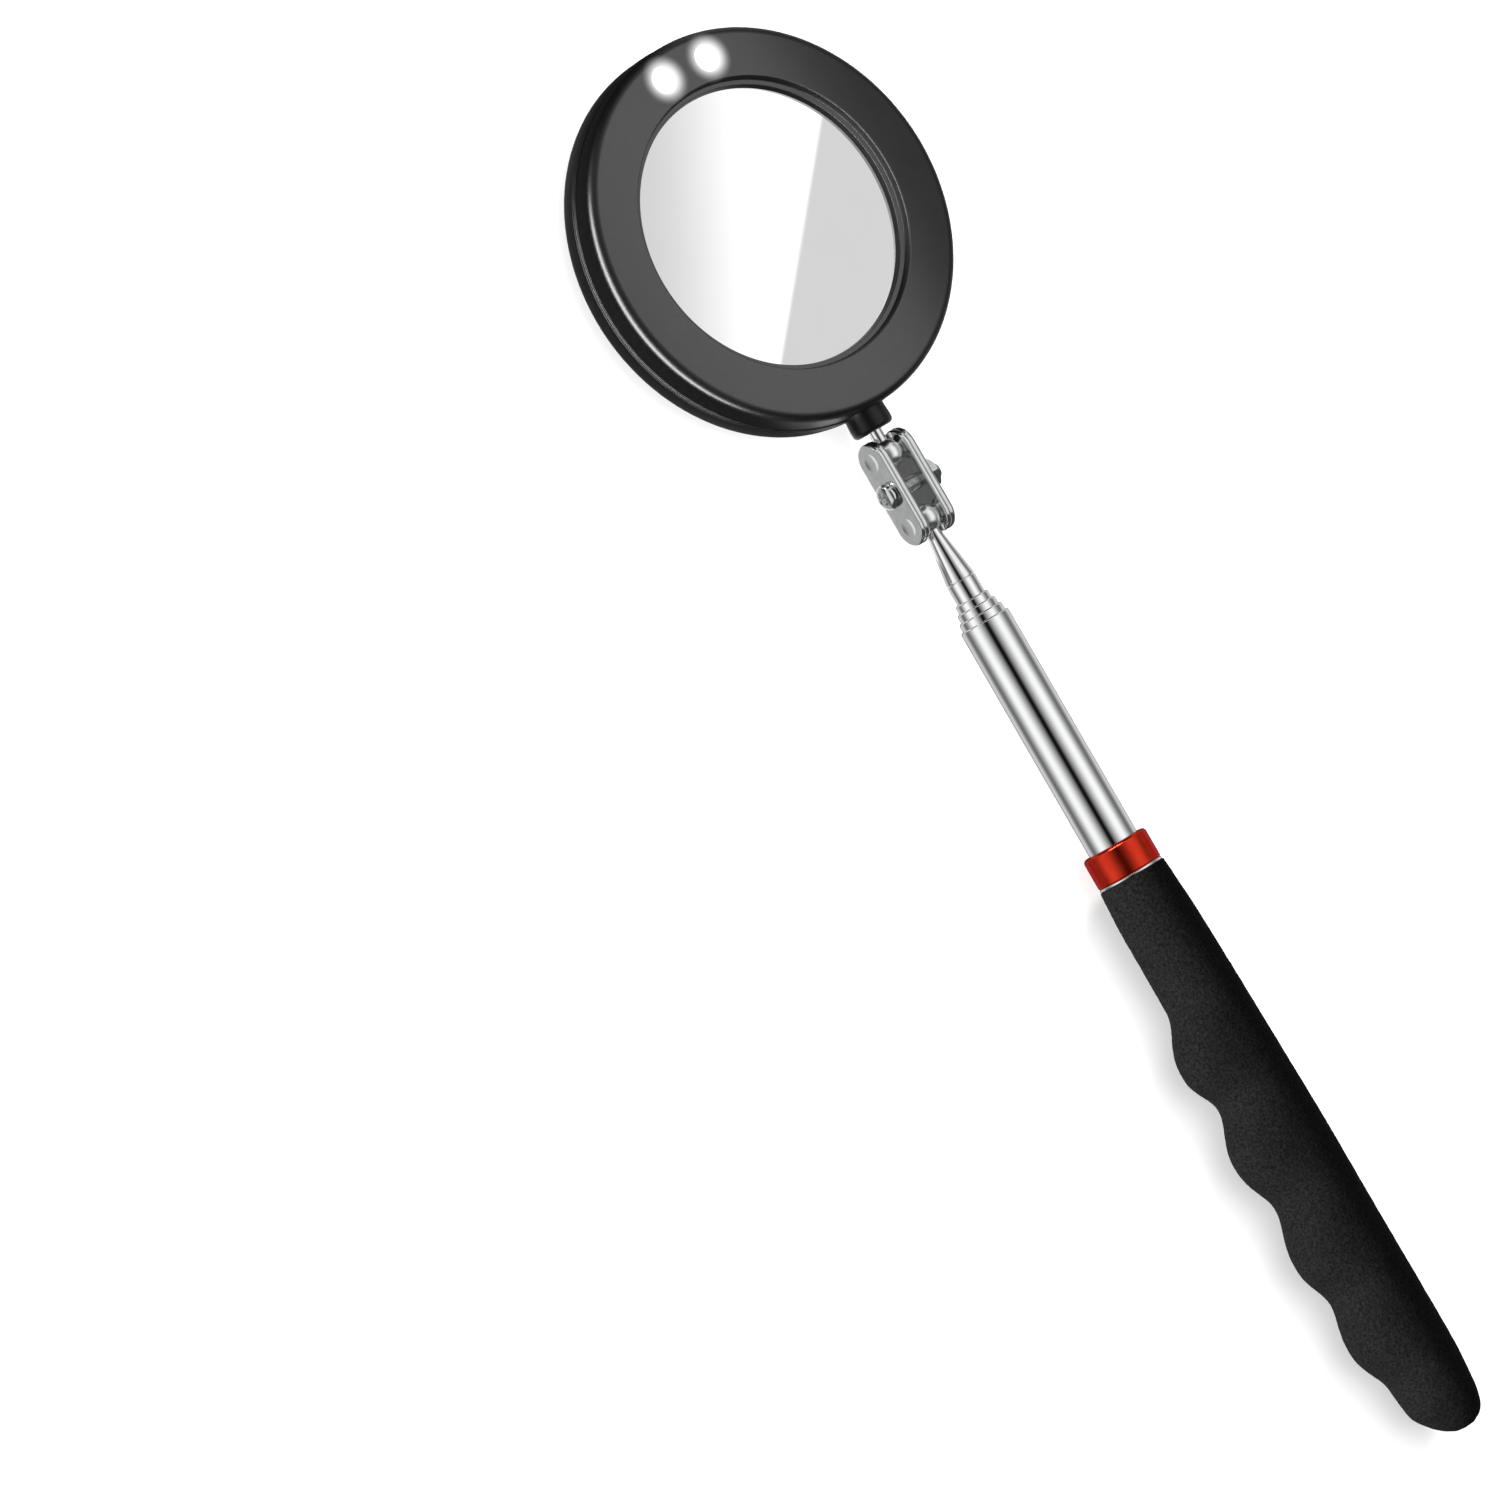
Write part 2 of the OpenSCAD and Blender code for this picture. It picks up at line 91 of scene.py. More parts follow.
HIGH_BALL = FRONT_X - box_mm("upper_ball_stud")[1].x + BALL_R
CLAMP_S = (LOW_BALL + HIGH_BALL) / 2
NECK_S = FRONT_X - box_mm("neck_boss")[1].x
STUD_END = FRONT_X - box_mm("upper_ball_stud")[0].x
HEAD = Vector((middle("mirror_glass").x, 0, AXIS_Z))
HEAD_R = 40.0
LEDS = ("led_left", "led_right")
FACE_Z = box_mm("head_front_bezel")[1].z - AXIS_Z
GLASS_Z = box_mm("mirror_glass")[1].z - AXIS_Z
SEAM_Z = box_mm("head_front_bezel")[0].z - AXIS_Z
PLATE_GAP = 4.6
PLATE_T = 2.2
PLATE_W = 7.7
TOWARDS_HEAD = Vector((-1, 0, 0))
TOWARDS_SCREW = Vector((0, -1, 0))
UP = Vector((0, 0, 1))
VIEW_TILT = 33          # degrees that the camera stands off straight above, towards the finger side


def on_axis(station):
    return Vector((FRONT_X - station, 0, AXIS_Z))


# ---- mesh helpers ----

def smooth(a, b, t):
    """From 0 at a to 1 at b, with soft ends."""
    t = min(1.0, max(0.0, (t - a) / (b - a)))
    return t * t * (3 - 2 * t)


def rounded(corners, closed=False, steps=4):
    """The outline through (a, b, fillet radius) corners, with each fillet as an arc."""
    outline = []
    count = len(corners)
    for i, (a, b, radius) in enumerate(corners):
        corner = Vector((a, b))
        if radius == 0 or (not closed and i in (0, count - 1)):
            outline.append(corner)
            continue
        back = (Vector(corners[i - 1][:2]) - corner).normalized()
        ahead = (Vector(corners[(i + 1) % count][:2]) - corner).normalized()
        half = back.angle(ahead) / 2
        centre = corner + (back + ahead).normalized() * radius / math.sin(half)
        start = corner + back * radius / math.tan(half) - centre
        sweep = (math.pi - 2 * half) * (1 if start.cross(-back) > 0 else -1)
        for k in range(steps + 1):
            turn = Matrix.Rotation(sweep * k / steps, 2)
            outline.append(centre + turn @ start)
    return [(p.x, p.y) for p in outline]


def bridge(bm, first, second):
    """Faces between two rings of vertices, where a ring of one vertex is a point."""
    count = max(len(first), len(second))
    for i in range(count):
        j = (i + 1) % count
        corners = [first[i % len(first)], first[j % len(first)],
                   second[j % len(second)], second[i % len(second)]]
        unique = list(dict.fromkeys(corners))
        if len(unique) > 2:
            bm.faces.new(unique)


def bridge_all(bm, rings):
    for first, second in zip(rings, rings[1:]):
        bridge(bm, first, second)


def make_object(name, bm, sharp_angle=32, weighted=True):
    """A smooth-shaded object from a bmesh in millimetres."""
    bmesh.ops.remove_doubles(bm, verts=bm.verts, dist=1e-4)
    bmesh.ops.recalc_face_normals(bm, faces=bm.faces)
    bmesh.ops.scale(bm, vec=(MM, MM, MM), verts=bm.verts)
    mesh = bpy.data.meshes.new(name)
    bm.to_mesh(mesh)
    bm.free()
    mesh.shade_smooth()
    mesh.set_sharp_from_angle(angle=math.radians(sharp_angle))
    obj = bpy.data.objects.new(name, mesh)
    bpy.context.scene.collection.objects.link(obj)
    if weighted:
        even = obj.modifiers.new("even_normals", "WEIGHTED_NORMAL")
        even.keep_sharp = True
    return obj


def turn_profile(bm, profile, origin, axis, closed=False, steps=128):
    """Turns (distance along the axis, radius) points about the axis."""
    side = UP if abs(axis.z) < 0.5 else Vector((1, 0, 0))
    other = axis.cross(side)
    rings = []
    for along, radius in profile:
        centre = origin + axis * along
        if radius < 1e-6:
            rings.append([bm.verts.new(centre)])
            continue
        ring = []
        for i in range(steps):
            angle = 2 * math.pi * i / steps
            spoke = side * math.cos(angle) + other * math.sin(angle)
            ring.append(bm.verts.new(centre + spoke * radius))
        rings.append(ring)
    bridge_all(bm, rings)
    if closed:
        bridge(bm, rings[-1], rings[0])


def lathe(name, profile, origin, axis, closed=False, steps=128):
    bm = bmesh.new()
    turn_profile(bm, profile, origin, axis, closed, steps)
    return make_object(name, bm)


def cut(obj, cutter, operation="DIFFERENCE"):
    """Takes the cutter out of obj, or keeps what they share, and removes the cutter."""
    boolean = obj.modifiers.new("cut", "BOOLEAN")
    boolean.operation = operation
    boolean.solver = "EXACT"
    boolean.object = cutter
    obj.modifiers.move(len(obj.modifiers) - 1, 0)
    weighted = obj.modifiers.get("even_normals")
    if weighted:
        obj.modifiers.remove(weighted)
    bpy.context.view_layer.update()
    evaluated = obj.evaluated_get(bpy.context.evaluated_depsgraph_get())
    mesh = bpy.data.meshes.new_from_object(evaluated)
    obj.modifiers.clear()
    obj.data = mesh
    mesh.shade_smooth()
    mesh.set_sharp_from_angle(angle=math.radians(30))
    even = obj.modifiers.new("even_normals", "WEIGHTED_NORMAL")
    even.keep_sharp = True
    bpy.data.objects.remove(cutter)


# ---- materials ----

class Paint:
    """A node material: one principled shader, with short helpers for its procedural detail."""

    def __init__(self, name, **sockets):
        self.material = bpy.data.materials.new(name)
        self.material.use_nodes = True
        self.tree = self.material.node_tree
        self.shader = self.tree.nodes["Principled BSDF"]
        self.place = self.tree.nodes.new("ShaderNodeTexCoord").outputs["Object"]
        for socket, value in sockets.items():
            self.shader.inputs[socket.replace("_", " ")].default_value = value

    def add(self, kind, **sockets):
        node = self.tree.nodes.new(kind)
        for socket, value in sockets.items():
            node.inputs[socket.replace("_", " ")].default_value = value
        return node

    def link(self, output, target):
        self.tree.links.new(output, target)

    def stretched(self, stretch):
        mapping = self.add("ShaderNodeMapping")
        mapping.inputs["Scale"].default_value = [1 / s for s in stretch]
        self.link(self.place, mapping.inputs["Vector"])
        return mapping.outputs["Vector"]

    def speckle(self, size_mm, detail=2.0, stretch=(1, 1, 1), roughness=0.5):
        """Cloudy noise, with lumps of about this size."""
        node = self.add("ShaderNodeTexNoise", Scale=1 / (size_mm * MM), Detail=detail,
                        Roughness=roughness)
        self.link(self.stretched(stretch), node.inputs["Vector"])
        return node.outputs["Fac"]

    def cells(self, size_mm):
        """Distance to the nearest of a field of scattered points."""
        node = self.add("ShaderNodeTexVoronoi", Scale=1 / (size_mm * MM))
        self.link(self.stretched((1, 1, 1)), node.inputs["Vector"])
        return node.outputs["Distance"]

    def calc(self, operation, first, second, clamp=False):
        """One step of arithmetic, where second is a number or another node's output."""
        node = self.add("ShaderNodeMath")
        node.operation = operation
        node.use_clamp = clamp
        self.link(first, node.inputs[0])
        if isinstance(second, float):
            node.inputs[1].default_value = second
        else:
            self.link(second, node.inputs[1])
        return node.outputs["Value"]

    def distance_to(self, spot):
        """How far each point of the piece lies from this place, given in millimetres."""
        node = self.add("ShaderNodeVectorMath")
        node.operation = "DISTANCE"
        node.inputs[1].default_value = spot * MM
        self.link(self.place, node.inputs[0])
        return node.outputs["Value"]

    def spread(self, fac, low, high, from_low=0.3, from_high=0.7):
        node = self.add("ShaderNodeMapRange", From_Min=from_low, From_Max=from_high,
                        To_Min=low, To_Max=high)
        self.link(fac, node.inputs["Value"])
        return node.outputs["Result"]

    def colours(self, fac, first, second, start=0.3, end=0.7):
        ramp = self.add("ShaderNodeValToRGB")
        ramp.color_ramp.elements[0].position = start
        ramp.color_ramp.elements[1].position = end
        ramp.color_ramp.elements[0].color = (*first, 1)
        ramp.color_ramp.elements[1].color = (*second, 1)
        self.link(fac, ramp.inputs["Fac"])
        self.link(ramp.outputs["Color"], self.shader.inputs["Base Color"])
        return ramp

    def rough(self, fac, low, high):
        self.link(self.spread(fac, low, high), self.shader.inputs["Roughness"])

    def bump(self, fac, depth_mm, strength=1.0):
        """Relief of this depth. A second call lies on top of the first."""
        node = self.add("ShaderNodeBump", Strength=strength, Distance=depth_mm * MM)
        self.link(fac, node.inputs["Height"])
        target = self.shader.inputs["Normal"]
        if target.is_linked:
            self.link(target.links[0].from_socket, node.inputs["Normal"])
        self.link(node.outputs["Normal"], target)


def foam():
    """Closed-cell foam: a fine open grain that catches the light in specks."""
    paint = Paint("foam", Roughness=0.9, Specular_IOR_Level=0.08)
    grain = paint.speckle(0.5, detail=3, roughness=0.7)
    paint.colours(grain, (0.0012, 0.0012, 0.0013), (0.0105, 0.0105, 0.0107), 0.36, 0.66)
    paint.bump(paint.cells(0.5), 0.10, 0.5)
    paint.bump(paint.speckle(0.22, detail=2), 0.06, 0.6)
    return paint.material


def bright_metal(name, colour, roughness, scratch_mm=0.0006):
    """Polished or plated metal with lengthwise wiping marks and faint smears."""
    paint = Paint(name, Metallic=1.0)
    smear = paint.speckle(6, detail=3, stretch=(3, 1, 1))
    darker = tuple(0.96 * c for c in colour)
    paint.colours(smear, darker, colour)
    paint.rough(smear, roughness * 0.8, roughness * 1.3)
    paint.bump(paint.speckle(0.12, stretch=(30, 1, 1)), scratch_mm, 0.5)
    return paint.material


def anodised():
    paint = Paint("red_collar", Metallic=0.86, Specular_Tint=(0.62, 0.05, 0.02, 1), Coat_Weight=0.1,
                  Coat_Roughness=0.12)
    tint = paint.speckle(0.8, detail=2, stretch=(3, 1, 1))
    paint.colours(tint, (0.66, 0.030, 0.010), (0.74, 0.044, 0.016))
    paint.rough(tint, 0.17, 0.21)
    paint.bump(paint.speckle(0.10, stretch=(20, 1, 1)), 0.0006, 0.4)
    return paint.material


def tumbled_steel():
    """Nickel-plated stampings: satin, faintly cloudy, with fine marks along their length."""
    paint = Paint("plate_steel", Metallic=1.0)
    cloud = paint.speckle(2.2, detail=3)
    paint.colours(cloud, (0.66, 0.665, 0.67), (0.78, 0.785, 0.79))
    paint.rough(cloud, 0.08, 0.14)
    paint.bump(paint.speckle(0.10, detail=2, stretch=(14, 1, 1)), 0.0007, 0.5)
    return paint.material


def fastener_steel():
    paint = Paint("fastener_steel", Metallic=1.0)
    cloud = paint.speckle(0.8, detail=3)
    paint.colours(cloud, (0.56, 0.565, 0.57), (0.78, 0.785, 0.79))
    paint.rough(cloud, 0.09, 0.16)
    paint.bump(paint.speckle(0.15, detail=2), 0.0008, 0.5)
    return paint.material


def satin_black():
    """Moulded satin plastic with a fine grain, and a painted glow round each LED: emission painted on its
    face, fading with distance.
    """
    paint = Paint("head_black", Specular_IOR_Level=0.36, Emission_Strength=1.0)
    cloud = paint.speckle(4.0, detail=3)
    paint.colours(cloud, (0.0065, 0.0065, 0.0068), (0.0095, 0.0095, 0.0098))
    paint.rough(paint.speckle(0.6, detail=3), 0.30, 0.37)
    paint.bump(paint.speckle(0.2, detail=2), 0.0012, 0.3)
    # painted glow: emission painted on the plastic round each LED, fading with distance from it
    glows = []
    for node in LEDS:
        spot = middle(node)
        spot.z = AXIS_Z + FACE_Z
        glow = paint.spread(paint.distance_to(spot), 1.0, 0.0, LED_R * MM, LED_GLOW_PAINT_R * MM)
        glows.append(paint.calc("POWER", glow, LED_GLOW_PAINT_FALL))
    painted_glow = paint.calc("ADD", *glows)
    paint.link(painted_glow, paint.shader.inputs["Emission Color"])
    return paint.material


def plain(name, colour, roughness, metallic=0.0, vary=0.15, size_mm=0.8, relief_mm=0.004):
    """Small hidden or half-hidden parts: their colour and finish vary a little."""
    paint = Paint(name, Metallic=metallic)
    cloud = paint.speckle(size_mm, detail=3)
    paint.colours(cloud, tuple((1 - vary) * c for c in colour),
                  tuple(min(1, (1 + vary) * c) for c in colour))
    paint.rough(cloud, roughness * 0.85, roughness * 1.15)
    paint.bump(paint.speckle(size_mm / 3), relief_mm, 0.4)
    return paint.material


def silvered_glass():
    paint = Paint("mirror_face", Metallic=1.0)
    cloud = paint.speckle(9, detail=2)
    paint.colours(cloud, (0.885, 0.885, 0.885), (0.895, 0.895, 0.895))
    paint.rough(paint.speckle(14, detail=2), 0.004, 0.012)
    return paint.material


def stud_steel():
    """Chromed like the tubes, and dulled on the two balls where the plates grip them."""
    paint = Paint("chrome_stud", Metallic=1.0)
    smear = paint.speckle(3, detail=3)
    paint.colours(smear, (0.90, 0.905, 0.91), (0.93, 0.935, 0.94))
    near_balls = [paint.spread(paint.distance_to(on_axis(station)), 1.0, 0.0,
                               (BALL_R + 0.02) * MM, (BALL_R + 0.3) * MM)
                  for station in (LOW_BALL, HIGH_BALL)]
    worn = paint.calc("ADD", *near_balls, clamp=True)
    paint.link(paint.spread(worn, 0.06, 0.24, 0.0, 1.0), paint.shader.inputs["Roughness"])
    paint.bump(paint.speckle(0.25, detail=2), 0.002, 0.4)
    return paint.material


def lit_lens():
    paint = Paint("led_lens", Roughness=0.12, Emission_Strength=LED_POWER)
    glow = paint.speckle(1.5, detail=1)
    ramp = paint.colours(glow, (0.96, 0.98, 1.0), (1.0, 1.0, 1.0))
    paint.link(ramp.outputs["Color"], paint.shader.inputs["Emission Color"])
    return paint.material


LED_R = 2.5
LED_GLOW_PAINT_R = 5.3       # how far the painted glow round each LED reaches over the face
LED_GLOW_PAINT_FALL = 2.0    # the power by which that painted glow fades
LED_POWER = 3.0

MATERIALS = {
    "foam": foam(),
    "steel_trim": bright_metal("steel_trim", (0.86, 0.87, 0.88), 0.14),
    "red_collar": anodised(),
    "chrome_tube": bright_metal("chrome_tube", (0.95, 0.955, 0.96), 0.06),
    "chrome_stud": stud_steel(),
    "plate_steel": tumbled_steel(),
    "fastener_steel": fastener_steel(),
    "head_black": satin_black(),
    "inner_plastic": plain("inner_plastic", (0.05, 0.05, 0.052), 0.55),
    "mirror_face": silvered_glass(),
    "pad_foam": plain("pad_foam", (0.72, 0.72, 0.67), 0.9, size_mm=0.5, relief_mm=0.05),
    "led_lens": lit_lens(),
    "board_green": plain("board_green", (0.03, 0.16, 0.06), 0.35, vary=0.3, size_mm=1.5),
    "wire_red": plain("wire_red", (0.42, 0.02, 0.02), 0.45),
    "cell_case": plain("cell_case", (0.70, 0.71, 0.72), 0.22, metallic=1.0, vary=0.06),
    "contact_brass": plain("contact_brass", (0.78, 0.60, 0.27), 0.25, metallic=1.0, vary=0.1),
    "brass_sleeve": plain("brass_sleeve", (0.72, 0.53, 0.22), 0.28, metallic=1.0, vary=0.1),
    "switch_can": plain("switch_can", (0.62, 0.63, 0.64), 0.3, metallic=1.0, vary=0.1),
    "knob_white": plain("knob_white", (0.78, 0.78, 0.76), 0.35, vary=0.05),
    "screw_black": plain("screw_black", (0.07, 0.07, 0.075), 0.35, metallic=1.0),
}


def put(obj, slot, body, *nodes):
    """Gives a new piece its material, its body and the CAD nodes that it stands for."""
    obj.data.materials.clear()
    obj.data.materials.append(MATERIALS[slot])
    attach(obj, body)
    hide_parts(*nodes)
    return obj


def paint_frame():
    """Every CAD node gets the material of its slot in the record."""
    for part in frame["record"]["subparts"]:
        node = frame["nodes"][part["node"]]
        node.data.materials.clear()
        node.data.materials.append(MATERIALS[part["material_slot"]])


# ---- grip ----

# (distance back from the grip's front end, half width or half height) down its edges
BACK_LINE = [(0, 7.1), (3, 7.3), (12.7, 7.85), (22.4, 8.15), (39.7, 8.55), (60.7, 8.95),
             (78, 9.0), (99, 9.15), (109, 9.18), (113.5, 9.05), (116.6, 8.9), (120, 8.35), (122.2, 7.3),
             (123.4, 5.3)]
FRONT_LINE = [(0, 6.95), (3, 7.15), (9, 7.4), (26, 7.42)]
FINGER_SWELLS = [(26, 7.42), (38.2, 11.05), (47.4, 8.2), (58.4, 11.05), (69.3, 8.25), (80.6, 10.55),
                 (90.4, 8.2), (99.6, 9.65), (110.8, 6.4)]
TAIL_LINE = [(110.8, 6.4), (113.5, 6.0), (116.6, 5.45), (120, 3.2), (122.2, 0.9), (123.4, -1.1)]
HEIGHT_LINE = [(0, 6.9), (12.7, 7.3), (30, 7.9), (50, 8.35), (62, 8.48), (104, 8.48), (110, 8.1),
               (116.2, 6.9), (120, 5.3), (122.2, 3.7), (123.4, 2.2)]
TAIL_START = 104
TAIL_END = 123.4
TIP_OUT = 3.0           # the tail's tip lies this far off the axis, away from the fingers


def curve_at(points, x):
    """A smooth curve through the points, level wherever it turns back."""
    i = max(j for j in range(len(points) - 1) if points[j][0] <= x or j == 0)

    def grade(j):
        return (points[j + 1][1] - points[j][1]) / (points[j + 1][0] - points[j][0])

    def slope(j):
        if j in (0, len(points) - 1):
            return grade(min(j, len(points) - 2))
        before, after = grade(j - 1), grade(j)
        return 2 * before * after / (before + after) if before * after > 0 else 0.0

    x0, y0 = points[i]
    x1, y1 = points[i + 1]
    span = x1 - x0
    t = (x - x0) / span
    return ((2 * t ** 3 - 3 * t ** 2 + 1) * y0 + (t ** 3 - 2 * t ** 2 + t) * slope(i) * span
            + (3 * t ** 2 - 2 * t ** 3) * y1 + (t ** 3 - t ** 2) * slope(i + 1) * span)


def finger_edge(back):
    """The finger side swells and narrows in waves, with broad crests and tighter hollows."""
    for (x0, y0), (x1, y1) in zip(FINGER_SWELLS, FINGER_SWELLS[1:]):
        if x0 <= back <= x1:
            crest, high, low = (x0, y0, y1) if y0 > y1 else (x1, y1, y0)
            share = abs(back - crest) / (x1 - x0)
            return low + (high - low) * (0.5 + 0.5 * math.cos(math.pi * share ** 1.2))
    return curve_at(FRONT_LINE if back < FINGER_SWELLS[0][0] else TAIL_LINE, back)


def reach(half_width, height):
    """Sideways semi-axis of an oval that looks half_width wide from the camera's side."""
    level = math.cos(math.radians(VIEW_TILT)) ** 2
    return math.sqrt(max(0.01, half_width ** 2 - (1 - level) * height ** 2) / level)


def grip_ring(bm, back, steps):
    """One slice of the grip: an oval between its edges, with slight lumps and dents."""
    height = curve_at(HEIGHT_LINE, back)
    hand_side = curve_at(BACK_LINE, back)
    finger_side = finger_edge(back)
    offset = smooth(TAIL_START, TAIL_END, back) * TIP_OUT
    dent = 0.05
    ring = []
    for i in range(steps):
        angle = 2 * math.pi * i / steps
        y, z = math.cos(angle), math.sin(angle)
        edge = hand_side - offset if y > 0 else offset + finger_side
        across = offset + y * reach(max(edge, 0.62 * height), height)
        spot = Vector((FRONT_X + back, across, AXIS_Z + z * height))
        lump = noise.noise(spot * 0.55) * 0.05 + noise.noise(spot * 1.4) * 0.03
        outward = Vector((0, y, z))
        ring.append(bm.verts.new(spot + outward * (lump - dent)))
    return ring


def make_grip():
    bm = bmesh.new()
    steps = 144
    bore_r = TUBE_R[4] + 0.05
    bore_end = TUBE_IN_GRIP + 1.2
    front_inset = 0.35
    # closer together where the two ends round over
    stations = [0.0, 0.25, 0.6] + [1 + 0.5 * i for i in range(244)] + [122.8, 123.1, TAIL_END]
    bore = []
    for depth in (bore_end, 0.6, 0.0):
        ring = []
        for i in range(steps):
            angle = 2 * math.pi * i / steps
            ring.append(bm.verts.new((FRONT_X + depth, math.cos(angle) * bore_r,
                                      AXIS_Z + math.sin(angle) * bore_r)))
        bore.append(ring)
    skin = [grip_ring(bm, back, steps) for back in stations]
    for vert in skin[0]:
        towards = Vector((vert.co.x, 0, AXIS_Z)) - vert.co
        vert.co += towards.normalized() * front_inset
    tip = bm.verts.new((FRONT_X + GRIP_LEN - 0.03, TIP_OUT, AXIS_Z))
    end = bm.verts.new((FRONT_X + bore_end, 0, AXIS_Z))
    bridge_all(bm, bore + skin)
    bridge(bm, [end], bore[0])
    bridge(bm, skin[-1], [tip])
    grip = make_object("foam_grip", bm, sharp_angle=50, weighted=False)
    put(grip, "foam", "handle", "grip")


# ---- collar and tubes ----

def make_collar():
    inner = TUBE_R[4] + 0.05
    washer_end = FRONT_X - box_mm("collar_washer")[0].x
    washer_r = COLLAR_R + SLIP
    washer = rounded([(0, inner, 0), (0, washer_r, 0.1), (washer_end, washer_r, washer_end * 0.8),
                      (washer_end, inner, 0)], closed=True, steps=8)
    put(lathe("collar_ring", washer, on_axis(0), TOWARDS_HEAD, closed=True),
        "steel_trim", "handle", "collar_washer")
    collar = rounded([(washer_end, inner, 0), (washer_end, COLLAR_R, 0.2),
                      (COLLAR_END, COLLAR_R, 0.85), (COLLAR_END, inner, 0.12)], closed=True, steps=8)
    put(lathe("red_collar", collar, on_axis(0), TOWARDS_HEAD, closed=True),
        "red_collar", "handle", "grip_collar")


def tube_profile(n, foot, mouth):
    """The closed outline of a section's wall, with its rolled mouth and its foot rings."""
    radius = TUBE_R[n]
    lip = 0.52
    inner = radius - TUBE_WALL
    outline = [(foot, inner, 0), (foot, radius, 0.05)]
    if n < 4:
        ring = radius + 0.2
        outline = [(foot, inner, 0)]
        for start, width in ((foot, 0.8), (foot + 13, 0.6)):
            if start > foot:
                outline.append((start, radius, 0))
            outline += [(start, ring, 0), (start + width, ring, 0), (start + width, radius, 0)]
    if n == 0:
        outline += [(mouth, radius, 0.14), (mouth, inner, 0)]
        return rounded(outline, closed=True)
    outline += [(mouth, radius, 0.46), (mouth, radius - lip, 0.04), (mouth - lip, radius - lip, 0),
                (mouth - lip, inner, 0)]
    return rounded(outline, closed=True, steps=7)


def make_tubes():
    names = ["tube_1", "tube_2", "tube_3", "tube_4", "outer_tube"]
    bodies = ["section_1", "section_2", "section_3", "section_4", "handle"]
    for n, (node, body) in enumerate(zip(names, bodies)):
        foot = FOOT if n < 4 else -TUBE_IN_GRIP
        mouth = MOUTH[n]
        tube = lathe(f"chrome_{node}", tube_profile(n, foot, mouth), on_axis(0), TOWARDS_HEAD,
                     closed=True, steps=160)
        put(tube, "chrome_tube", body, node)


# ---- double ball joint ----

def ball_arc(centre, start_r, end_r=0.0, steps=24):
    """Points over a ball from radius start_r on its near side to end_r on its far side."""
    a0 = math.pi - math.asin(start_r / BALL_R)
    a1 = math.asin(end_r / BALL_R)
    return [(centre + BALL_R * math.cos(a0 + (a1 - a0) * i / steps),
             BALL_R * math.sin(a0 + (a1 - a0) * i / steps)) for i in range(steps + 1)]


def make_studs():
    top = MOUTH[0]
    shank = TUBE_R[0] - TUBE_WALL - SLIP
    base = TUBE_R[0] - SLIP
    tip_r = 1.4
    reach_s = LOW_BALL - math.sqrt(BALL_R ** 2 - tip_r ** 2)
    profile = rounded([(top - 10, 0, 0), (top - 10, shank, 0), (top + SLIP, shank, 0),
                       (top + 0.1, base - 0.25, 0), (top + 0.16, base, 0.12), (top + 0.5, base, 0.5),
                       (reach_s, tip_r, 0)], steps=6)
    profile += ball_arc(LOW_BALL, tip_r)
    put(lathe("ferrule_and_ball", profile, on_axis(0), TOWARDS_HEAD), "chrome_stud",
        "section_1", "lower_ball_stud")

    rod = 1.35
    cap_r = 2.3
    cap_start = STUD_END - 1.2
    profile = [(2 * HIGH_BALL - along, radius) for along, radius in reversed(ball_arc(HIGH_BALL, rod))]
    profile += rounded([(HIGH_BALL + 2.7, rod, 0), (cap_start, rod, 0), (cap_start, cap_r, 0.1),
                        (STUD_END, cap_r, 0.2), (STUD_END, 0, 0)])
    put(lathe("stud_and_ball", profile, on_axis(0), TOWARDS_HEAD), "chrome_stud",
        "stud", "upper_ball_stud")


def plate_edge():
    """(height, inset) points across a plate's edge: two shallow rolls, with a thin line between."""
    tilt = math.radians(23)
    corner = 0.25
    crown = (PLATE_T / 2 - corner * (1 - math.sin(tilt))) / (2 * math.sin(tilt))
    middle_of_roll = crown * math.sin(tilt)
    sag = crown * (1 - math.cos(tilt))
    half = []
    for k in range(9):
        angle = tilt * (k / 4 - 1)
        half.append((middle_of_roll + crown * math.sin(angle), crown * (1 - math.cos(angle))))
    for k in range(1, 7):
        angle = tilt + (math.pi / 2 - tilt) * k / 6
        half.append((2 * middle_of_roll + corner * (math.sin(angle) - math.sin(tilt)),
                     sag + corner * (math.cos(tilt) - math.cos(angle))))
    return [(-height, inset) for height, inset in reversed(half[1:])] + half


def dish_cutter(name, centre, outward):
    """The dish pressed into a plate behind each ball, with a rounded rim."""
    curve_r = 6.0
    tilt = math.radians(18)
    rim_fillet = 0.9
    flat = curve_r * math.sin(tilt)
    depth = (curve_r + rim_fillet) * (1 - math.cos(tilt))
    profile = [(-depth + curve_r * (1 - math.cos(tilt * k / 12)), curve_r * math.sin(tilt * k / 12))
               for k in range(13)]
    for k in range(1, 7):
        angle = tilt * (1 - k / 6)
        profile.append((rim_fillet * (math.cos(angle) - 1),
                        flat + rim_fillet * (math.sin(tilt) - math.sin(angle))))
    edge = profile[-1][1]
    profile += [(0.4, edge), (0.4, 0)]
    return lathe(name, profile, centre, outward, steps=96)


def ball_cutter(name, centre, radius):
    profile = [(-radius * math.cos(math.pi * k / 32), radius * math.sin(math.pi * k / 32))
               for k in range(33)]
    return lathe(name, profile, centre, TOWARDS_SCREW, steps=96)


